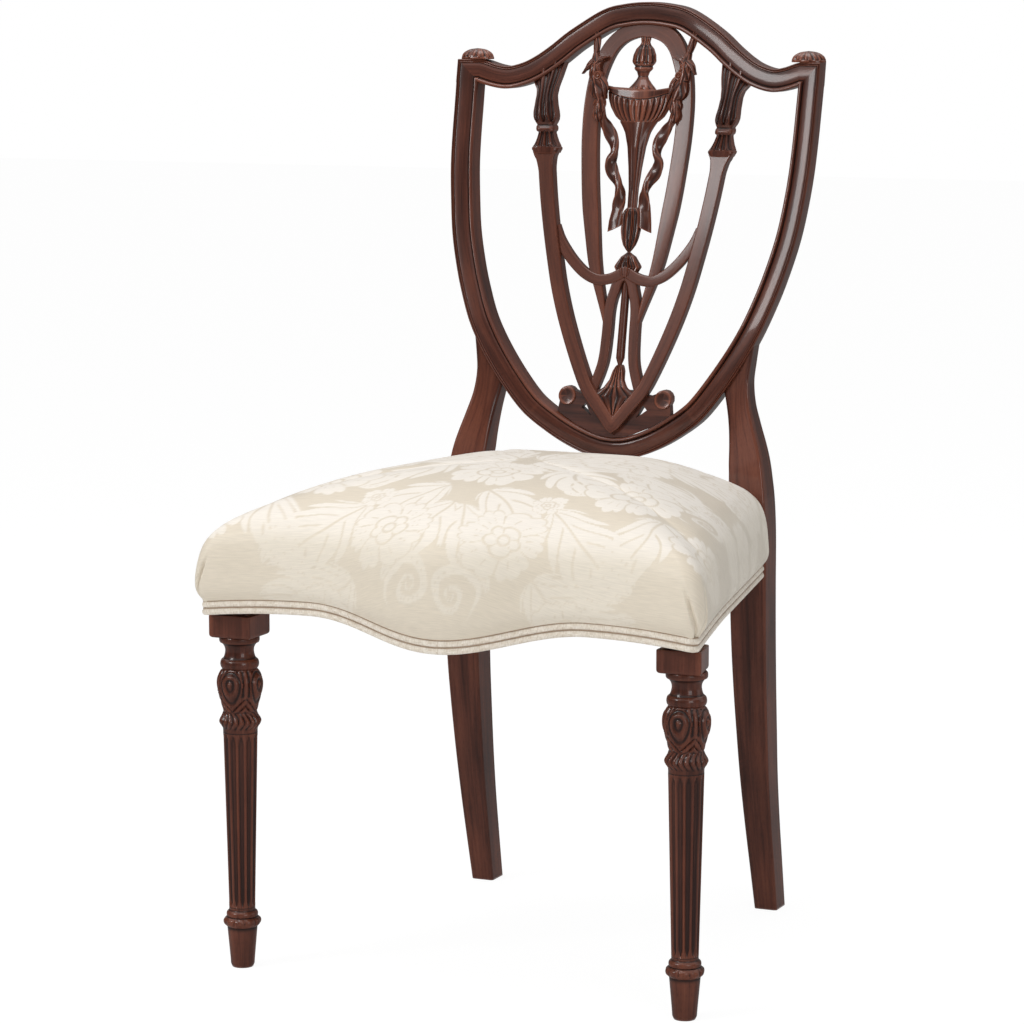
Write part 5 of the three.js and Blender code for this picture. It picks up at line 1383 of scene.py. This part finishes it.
def makeWelts():
    plan = wholeLine(halfPlan())
    plan = evenly(plan - outwards(plan, False) * welt["radius"], welt["steps"])
    for name, lift in (("lower", welt["radius"]), ("upper", 3 * welt["radius"] + welt["gap"])):
        z = weltHeight(plan[:, 0], plan[:, 1]) + lift
        line = np.column_stack([plan, z])
        bm = rolled(cordRings(line, welt["radius"], welt["sides"]))
        finishPiece(f"{name}Welt", bm, weltCloth, "welt_cloth", [f"welt_{name}"], smoothBelow=60)
        reach = welt["backReach"]
        x = np.linspace(-reach, reach, 80)
        line = np.column_stack([x, 0 * x + welt["backLine"], 0 * x + seat["height"] + lift])
        bm = rolled(cordRings(line, welt["radius"], welt["sides"]))
        finishPiece(f"{name}BackWelt", bm, weltCloth, "welt_cloth", [f"back_welt_{name}"], smoothBelow=60)
        # a brown seam thread lies in the groove over each cord; its dark brown also paints the shade of that
        # groove
        z = weltHeight(plan[:, 0], plan[:, 1]) + lift + welt["radius"] + welt["gap"] / 2
        line = np.column_stack([plan + outwards(plan, False) * (welt["radius"] + seam["out"]), z])
        bm = rolled(cordRings(line, seam["radius"], seam["sides"]))
        finishPiece(f"{name}Seam", bm, seamThreadAndShade, "welt_cloth", smoothBelow=60)


makeWelts()


# Damask figure, drawn on the flat cloth in millimetres from the middle of the seat, right half only

figures = {
    "peonies": [
        # across, back, radius, turn
        [0, 124, 54, 90], [96, 22, 50, 20], [0, -84, 50, -90], [182, 126, 42, 50], [160, -112, 50, -40],
        [62, -222, 46, 10], [262, 16, 40, 0], [84, 226, 42, 70], [262, -182, 38, -30], [226, 232, 36, 30],
        [160, -296, 38, -80], [34, 40, 20, 10], [122, -44, 18, 60], [128, 92, 20, 120], [92, -160, 19, 0],
        [212, 58, 18, 200], [214, -44, 20, 30],
    ],
    "leaves": [
        # across, back, length, turn, bend, width, lobes
        [14, -6, 140, 58, -0.42, 0.26, 5], [10, -30, 120, -8, 0.4, 0.3, 4], [34, 60, 130, 14, 0.4, 0.26, 5],
        [52, 100, 130, 48, -0.4, 0.26, 5], [122, 60, 130, 2, 0.42, 0.28, 5],
        [110, -20, 140, -36, 0.4, 0.26, 5],
        [20, -140, 120, -34, -0.42, 0.28, 4], [66, -50, 116, -70, 0.4, 0.28, 4],
        [200, -62, 120, 18, -0.4, 0.26, 5],
        [100, -172, 130, -52, 0.38, 0.27, 5], [206, -150, 116, -84, -0.4, 0.28, 4],
        [26, 178, 130, 76, -0.36, 0.26, 5], [126, 172, 120, 30, 0.4, 0.28, 4],
        [204, 168, 110, 88, -0.35, 0.28, 4],
        [6, -176, 110, -80, 0.35, 0.27, 4], [106, -258, 116, -26, 0.38, 0.28, 5],
        [244, 74, 104, 40, -0.4, 0.28, 4],
    ],
    "scrolls": [
        # across, back, radius, turn, way round
        [46, -24, 34, 150, 1], [160, -36, 36, 40, -1], [50, 176, 32, 200, 1], [206, 84, 32, -60, 1],
        [108, -120, 30, 100, -1], [28, -286, 32, 30, 1], [226, -96, 30, 200, -1],
    ],
}


def risen(value, low, high):
    # 0 below the low value, 1 above the high one, smooth between
    share = np.clip((value - low) / (high - low), 0, 1)
    return share * share * (3 - 2 * share)


def local(x, y, across, back, size, turn, way=1):
    # places as a motif of that size and turn sees them
    dx, dy = x - across, y - back
    cosine, sine = np.cos(radians(turn)), np.sin(radians(turn))
    return (dx * cosine + dy * sine) / size, way * (dy * cosine - dx * sine) / size


def peonyFigure(u, v, soft):
    # big petals with scalloped edges round a curled heart, and how far a place lies outside them
    radius, turn = np.hypot(u, v), np.arctan2(v, u)
    turn = turn + 0.22 * np.sin(2 * turn + 1) + 0.25 * radius
    petal, inner = np.abs(np.cos(3 * turn)), np.abs(np.cos(2.5 * turn + 0.9))
    edge = 0.6 + 0.27 * petal**0.45 + 0.13 * np.abs(np.cos(9 * turn))**0.6
    mask = risen(edge - radius, -soft, soft)
    mask *= np.maximum(risen(petal, 0.05, 0.14), risen(0.46 - radius, -soft, soft))
    ring = 0.27 + 0.15 * inner**0.6
    mask *= risen(np.abs(radius - ring), 0.014, 0.014 + 2 * soft)
    mask *= np.maximum(risen(inner, 0.08, 0.2), risen(np.abs(radius - 0.27), 0.08, 0.1))
    mask *= risen(np.abs(radius - 0.13), 0.012, 0.012 + 2 * soft)
    veins = risen(np.abs(np.cos(9 * turn)), 0.05, 0.2)
    mask *= np.maximum(veins, risen(np.abs(radius - 0.62), 0.08, 0.1))
    return mask, risen(radius - edge, 0.02, 0.06)


def leafFigure(u, v, soft, bend, width, lobes):
    # an acanthus leaf along U: fingers that curl forwards, a middle rib and lines of ground between
    inside = np.clip(u, 0, 1)
    aside = np.abs(v - bend * u * u)
    reach = np.maximum(np.sin(pi * inside**0.8).clip(0)**0.6 * width, 0.004)
    across = aside / reach
    finger = np.abs(np.sin(pi * lobes * (u - 1.5 * width * across**1.4)))
    mask = risen((0.3 + 0.8 * finger**0.4 - across) * reach, 0, 2 * soft)
    mask *= np.maximum(risen(finger, 0.12, 0.32), risen(0.24 - across, 0, 0.1))
    mask *= risen(aside, 0.005, 0.005 + 2 * soft)
    return mask * risen(u, 0, 0.02) * risen(1 - u, 0, 0.02)


def scrollFigure(u, v, soft):
    # a band that winds inwards, with dots of ground along it
    radius, turn = np.maximum(np.hypot(u, v), 0.05), np.arctan2(v, u) / (2 * pi)
    wound = -0.85 * np.log(radius) - turn
    apart = np.abs(wound - np.round(wound))
    mask = risen(0.2 - apart, -soft, soft) * risen(1 - radius, -soft, soft)
    dots = np.hypot(apart * 9, np.cos(18 * pi * turn) * 0.9)
    return mask * risen(dots, 0.35, 0.6)


def figureAt(x, y):
    # how far each place of the cloth, in millimetres, belongs to the woven figure
    drawnX = np.abs(x + 4 * np.sin(y / 29) + 1.6 * np.sin(y / 9 + x / 15))
    x, y = drawnX, y + 4 * np.sin(x / 25) + 1.6 * np.sin(x / 10)
    figure = np.zeros_like(x)
    softness = 0.7
    for across, back, length, turn, bend, width, lobes in figures["leaves"]:
        u, v = local(x, y, across, back, length, turn)
        figure = np.maximum(figure, leafFigure(u, v, softness / length, bend, width, lobes))
    for across, back, size, turn, way in figures["scrolls"]:
        u, v = local(x, y, across, back, size, turn, way)
        figure = np.maximum(figure, scrollFigure(u, v, softness / size))
    for across, back, size, turn in figures["peonies"]:
        u, v = local(x, y, across, back, size, turn)
        flower, room = peonyFigure(u, v, softness / size)
        figure = np.maximum(figure * room, flower)
    return figure


# Seat cushion

cushion = {
    "around": 300,
    "centreLine": 184.5,
    "side": [[0, -0.4], [0.08, 0.1], [0.2, 0.7], [0.35, 1], [0.56, 0.95]],
    "crown": [
        [0.0, 0.0], [0.004, 0.06], [0.016, 0.22], [0.04, 0.37], [0.085, 0.5], [0.16, 0.62], [0.28, 0.75],
        [0.44, 0.87], [0.64, 0.95], [0.85, 0.992], [1, 1],
    ],
    "cornerDrop": 11,
    "tail": [[179, 367.5], [172, 370], [160, 372], [150, 376], [146.5, 384], [146.5, 398], [145, 403.5],
             [141, 406.6], [134, 407], [0, 407]],
    "closerAtCorner": 2.6,
    "cornerReach": 24,
    "heldBelow": 0.392,
    "pressure": 4,
    "frames": 20,
    "mostRise": 7,
    "evenings": 50,
    "pleats": [[-7, 2], [13, 4.6]],
    "pleatDepth": 4.2,
    "pleatWidth": 1.3,
    "pleatFoot": 375,
    "pleatRise": 45,
    "pleatTop": 424,
    "pleatFade": 14,
    "finer": 4,
    "rowGap": 1.7,
}


def cushionPlan():
    # the outline with its points set closer round the front corners
    half = halfPlan(np.array(cushion["tail"], float))
    fine = evenly(np.vstack([half, half[-2:0:-1] * (-1, 1)]), 2400, closed=True)
    cornerSpot = (seat["halfWidth"], seat["frontLine"] - seat["flare"])
    apart = np.hypot(np.abs(fine[:, 0]) - cornerSpot[0], fine[:, 1] - cornerSpot[1])
    weight = 1 + cushion["closerAtCorner"] * np.exp(-(apart / cushion["cornerReach"])**2)
    reach = np.append(0, np.cumsum(weight))
    at = np.linspace(0, reach[-1], cushion["around"], endpoint=False)
    plan = readAt(reach, np.vstack([fine, fine[:1]]), at)
    return plan, outwards(plan, True)


def cushionRings():
    plan, out = cushionPlan()
    foot = weltHeight(plan[:, 0], plan[:, 1]) + 4 * welt["radius"] + 2 * welt["gap"] - 1
    top = seat["sideTop"]
    across = np.clip(np.abs(plan[:, 0]) / seat["halfWidth"], 0, 1)
    along = np.clip(np.abs(plan[:, 1] - cushion["centreLine"]) / cushion["centreLine"], 0, 1)
    corner = across**6 * along**6
    inner = plan - out * 9
    rings = [np.column_stack([inner, foot + 8]), np.column_stack([inner, foot])]
    for up in np.linspace(0, 0.56, 10):
        swell = smoothAt(cushion["side"], up) * seat["bulge"]
        rings.append(np.column_stack([plan + out * swell, foot + up * (top + 3.2 - foot)]))
    sideCount = len(rings)
    edge = plan + out * seat["bulge"] * 0.8
    for inward in np.concatenate([np.linspace(0.004, 0.09, 8), np.linspace(0.11, 1, 26)]):
        x = edge[:, 0] * (1 - inward)
        y = cushion["centreLine"] + (edge[:, 1] - cushion["centreLine"]) * (1 - inward)
        up = smoothAt(cushion["crown"], inward)
        z = top + (seat["crown"] - top) * up - cushion["cornerDrop"] * corner * (1 - inward)
        rings.append(np.column_stack([x, y, z]))
    return np.array(rings), plan, out, sideCount


def flatCloth(rings, plan, out, sideCount):
    # where each point lies on the cloth before it was drawn over the seat
    steps = np.linalg.norm(np.diff(rings, axis=0), axis=2)
    crownSteps = steps[sideCount - 1:]
    fromCentre = np.cumsum(crownSteps[::-1], axis=0)[::-1]
    toCentre = plan - (0, cushion["centreLine"])
    away = toCentre / np.linalg.norm(toCentre, axis=1)[:, None]
    edge = away * fromCentre[0][:, None]
    flat = np.zeros((len(rings), len(plan), 2))
    down = np.cumsum(steps[:sideCount - 1][::-1], axis=0)[::-1]
    for k in range(sideCount - 1):
        flat[k] = edge + out * down[k][:, None]
    flat[sideCount - 1] = edge
    for k, reach in enumerate(fromCentre[1:]):
        flat[sideCount + k] = away * reach[:, None]
    return flat


def pressPleats(rings, plan, out):
    # two small pleats close towards the welt at each front corner
    spacing = np.linalg.norm(np.diff(plan, axis=0, append=plan[:1]), axis=1)
    along = np.append(0, np.cumsum(spacing)[:-1])
    for side in (1, -1):
        corner = (side * (seat["halfWidth"] - 2), seat["frontLine"] - seat["flare"] + 3)
        start = along[np.argmin(np.hypot(plan[:, 0] - corner[0], plan[:, 1] - corner[1]))]
        for high, low in cushion["pleats"]:
            for k in range(8, len(rings)):
                z = rings[k][:, 2]
                up = np.clip((z - cushion["pleatFoot"]) / cushion["pleatRise"], 0, 1)
                spot = start + side * (low + (high - low) * up)
                away = (along - spot) / cushion["pleatWidth"]
                fade = np.clip((cushion["pleatTop"] - z) / cushion["pleatFade"], 0, 1)
                push = cushion["pleatDepth"] * np.exp(-away**2) * fade
                rings[k][:, :2] -= out * push[:, None]
    return rings


def broadly(rise):
    # each point rises as its neighbours do, so that the broad swell stays and small folds go
    for _ in range(cushion["evenings"]):
        ends = np.concatenate([rise[:1], rise, rise[-1:]])
        rise = (ends[:-2] + 2 * rise + ends[2:]) / 4
        rise = (np.roll(rise, 1, axis=1) + 2 * rise + np.roll(rise, -1, axis=1)) / 4
    rise[-1] = rise[-2].mean()
    return rise * np.clip((np.arange(len(rise)) - 2) / 5, 0, 1)[:, None]


def straightOut(rings):
    # the direction straight out of the surface at each point
    around = np.roll(rings, -1, axis=1) - np.roll(rings, 1, axis=1)
    direction = np.cross(around, np.gradient(rings, axis=0))
    direction /= np.maximum(np.linalg.norm(direction, axis=2, keepdims=True), 1e-9)
    inwards = np.sum(direction * (rings - rings.mean(axis=(0, 1))), axis=2) < 0
    direction[inwards] *= -1
    direction[-1] = (0, 0, 1)
    return direction


def swelled(rings):
    # the cover is blown up a little as cloth, held at its foot, and no point may go far
    count, around = rings.shape[:2]
    bm = rolled(rings, closeEnds=False)
    for vert in bm.verts:
        vert.co *= mm
    mesh = bpy.data.meshes.new("coverDraft")
    bm.to_mesh(mesh)
    bm.free()
    piece = bpy.data.objects.new("coverDraft", mesh)
    bpy.context.scene.collection.objects.link(piece)
    held = piece.vertex_groups.new(name="held")
    low = [vert.index for vert in mesh.vertices if vert.co.z < cushion["heldBelow"]]
    held.add(low, 1.0, "REPLACE")
    cloth = piece.modifiers.new("cloth", "CLOTH")
    settings = cloth.settings
    settings.quality = 6
    settings.mass = 0.3
    settings.use_pressure = True
    settings.uniform_pressure_force = cushion["pressure"]
    settings.vertex_group_mass = "held"
    settings.tension_stiffness = 18
    settings.compression_stiffness = 18
    settings.bending_stiffness = 1.2
    settings.effector_weights.gravity = 0
    cloth.collision_settings.use_collision = False
    cloth.collision_settings.use_self_collision = False
    scene = bpy.context.scene
    scene.frame_start, scene.frame_end = 1, cushion["frames"]
    for number in range(1, cushion["frames"] + 1):
        scene.frame_set(number)
    shaped = piece.evaluated_get(bpy.context.evaluated_depsgraph_get()).to_mesh()
    after = np.empty(len(mesh.vertices) * 3)
    shaped.vertices.foreach_get("co", after)
    owner = np.zeros(len(mesh.vertices), dtype=np.int32)
    mesh.attributes["spot"].data.foreach_get("value", owner)
    placed = np.full((count * (around + 1), 3), np.nan)
    placed[owner] = after.reshape(-1, 3) / mm
    placed = placed.reshape(count, around + 1, 3)[:, :around]
    missing = np.isnan(placed[:, :, 0])
    placed[missing] = rings[missing]
    bpy.data.objects.remove(piece)
    bpy.data.meshes.remove(mesh)
    scene.frame_set(1)
    direction = straightOut(rings)
    rise = np.clip(np.sum((placed - rings) * direction, axis=2), 0, None)
    rise = broadly(cushion["mostRise"] * np.tanh(rise / cushion["mostRise"]))
    print("cushion swelled by up to", round(float(rise.max()), 2), "mm")
    return rings + direction * rise[:, :, None]


def evenRows(rows):
    # the same surface with its rows at even distances
    steps = np.linalg.norm(np.diff(rows[:, :, :3], axis=0), axis=2).mean(axis=1)
    reach = np.append(0, np.cumsum(steps))
    at = np.linspace(0, reach[-1], int(reach[-1] / cushion["rowGap"]))
    low = np.clip(np.searchsorted(reach, at, side="right") - 1, 0, len(rows) - 2)
    share = ((at - reach[low]) / (reach[low + 1] - reach[low]))[:, None, None]
    return rows[low] * (1 - share) + rows[low + 1] * share


def markFigure(mesh):
    # the figure is fixed to the points of the cloth from their flat places
    count = len(mesh.loops)
    flat = np.empty(count * 2, dtype=np.float32)
    mesh.uv_layers["cloth"].uv.foreach_get("vector", flat)
    owner = np.empty(count, dtype=np.int32)
    mesh.loops.foreach_get("vertex_index", owner)
    spots = np.zeros((len(mesh.vertices), 2))
    spots[owner] = flat.reshape(-1, 2)
    layer = mesh.attributes.new("figure", "FLOAT", "POINT")
    layer.data.foreach_set("value", figureAt(spots[:, 0] / mm, spots[:, 1] / mm).astype(np.float32))


def makeCushion():
    rings, plan, out, sideCount = cushionRings()
    flat = flatCloth(rings, plan, out, sideCount)
    rings = swelled(rings)
    times = cushion["finer"]
    both = np.concatenate([rings, flat], axis=2)
    both = finer(both, times, closed=False)
    both = finer(both.swapaxes(0, 1), times, closed=True).swapaxes(0, 1)
    both = evenRows(both)
    planBoth = finer(np.concatenate([plan, out], axis=1), times, closed=True)
    rings = pressPleats(both[:, :, :3].copy(), planBoth[:, :2], planBoth[:, 2:])
    bm = rolled(rings, flat=both[:, :, 3:])
    piece = finishPiece("seatCushion", bm, damask, "damask", ["seat_pad"], smoothBelow=80)
    piece.modifiers.clear()
    markFigure(piece.data)


makeCushion()
print("seat made")


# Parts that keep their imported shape

def steelMaterial():
    material, tree, shader = newMaterial("steel")
    noise = addNode(tree, "TexNoise", {"Scale": 900}).outputs[0]
    tree.links.new(ramp(tree, noise, [(0.3, (0.3, 0.3, 0.3)), (0.7, (0.55, 0.54, 0.52))]),
                   shader.inputs["Base Color"])
    shader.inputs["Metallic"].default_value = 1
    shader.inputs["Roughness"].default_value = 0.35
    return material


steel = steelMaterial()
for name, node in nodes.items():
    if name.startswith("side_seat_rail"):
        node.data.materials[0] = beechAlong
    elif name.endswith("seat_rail") or "block" in name or "dowel" in name or name == "seat_board":
        node.data.materials[0] = beechAcross
    elif name == "dust_cover":
        node.data.materials[0] = cambric
    elif "screw" in name:
        node.data.materials[0] = steel


# Stage

stage = {"floor": 0.95, "reach": 14000, "white": 0.88, "glow": 1.065, "plainLight": 0.42}
flags = {
    # dark cloths round the set that only reflections see: from and to degrees from the front, height, shade
    "frontFlag": {"from": -125, "to": 100, "radius": 7000, "height": 5200, "shade": 0.03},
    "backFlag": {"from": 128, "to": 232, "radius": 7000, "height": 5200, "shade": 0.2},
}
floorFlag = {"reach": 6900, "height": 1.5, "shade": 0.3}


def stageMesh(name, bm, material):
    mesh = bpy.data.meshes.new(name)
    bm.to_mesh(mesh)
    bm.free()
    mesh.materials.append(material)
    piece = bpy.data.objects.new(name, mesh)
    bpy.context.scene.collection.objects.link(piece)
    return piece


def seenShare(tree):
    # one for the camera and for what glossy and clear surfaces show, zero for plain light
    path = addNode(tree, "LightPath").outputs
    mirrored = calc(tree, "MAXIMUM", path["Is Glossy Ray"], path["Is Transmission Ray"])
    return calc(tree, "MAXIMUM", path["Is Camera Ray"], mirrored)


def makeFloor():
    bm = bmesh.new()
    bmesh.ops.create_grid(bm, x_segments=1, y_segments=1, size=stage["reach"] * mm)
    material, tree, shader = newMaterial("floorPaper")
    shader.inputs["Base Color"].default_value = (stage["floor"],) * 3 + (1,)
    shader.inputs["Roughness"].default_value = 1
    shader.inputs["Specular IOR Level"].default_value = 0
    glow = addNode(tree, "Emission", {"Color": (1, 1, 1, 1), "Strength": stage["glow"]})
    share = calc(tree, "MULTIPLY", seenShare(tree), stage["white"])
    mixed = addNode(tree, "MixShader", {0: share, 1: shader.outputs[0], 2: glow.outputs[0]})
    tree.links.new(mixed.outputs[0], tree.nodes["Material Output"].inputs[0])
    stageMesh("floor", bm, material)


def hangFlag(name, bm, shade):
    material, tree, shader = newMaterial(name)
    glow = addNode(tree, "Emission", {"Color": (1, 1, 1, 1), "Strength": shade})
    tree.links.new(glow.outputs[0], tree.nodes["Material Output"].inputs[0])
    piece = stageMesh(name, bm, material)
    piece.visible_camera = False
    piece.visible_diffuse = False
    piece.visible_shadow = False
    piece.visible_transmission = False


def makeFlags():
    for name, flag in flags.items():
        bm = bmesh.new()
        turn = radians(flag["from"]) - pi / 2
        start = bm.verts.new((np.cos(turn) * flag["radius"] * mm, np.sin(turn) * flag["radius"] * mm, -0.01))
        bmesh.ops.spin(bm, geom=[start], axis=(0, 0, 1), cent=(0, 0, 0), steps=40,
                       angle=radians(flag["to"] - flag["from"]))
        raised = bmesh.ops.extrude_edge_only(bm, edges=bm.edges[:])["geom"]
        upper = [item for item in raised if isinstance(item, bmesh.types.BMVert)]
        bmesh.ops.translate(bm, verts=upper, vec=(0, 0, flag["height"] * mm))
        hangFlag(name, bm, flag["shade"])
    bm = bmesh.new()
    bmesh.ops.create_grid(bm, x_segments=1, y_segments=1, size=floorFlag["reach"] * mm)
    bmesh.ops.translate(bm, verts=bm.verts, vec=(0, 0, floorFlag["height"] * mm))
    hangFlag("floorFlag", bm, floorFlag["shade"])


def makeWorld():
    world = bpy.data.worlds.new("studio")
    bpy.context.scene.world = world
    world.use_nodes = True
    tree = world.node_tree
    plain = stage["plainLight"]
    strength = calc(tree, "MULTIPLY_ADD", seenShare(tree), 1 - plain, plain)
    tree.nodes["Background"].inputs[0].default_value = (1, 1, 1, 1)
    tree.links.new(strength, tree.nodes["Background"].inputs[1])


makeCamera()
makeLamps()
makeFloor()
makeFlags()
makeWorld()
bpy.context.scene.view_settings.view_transform = "Standard"
print("scene ready")
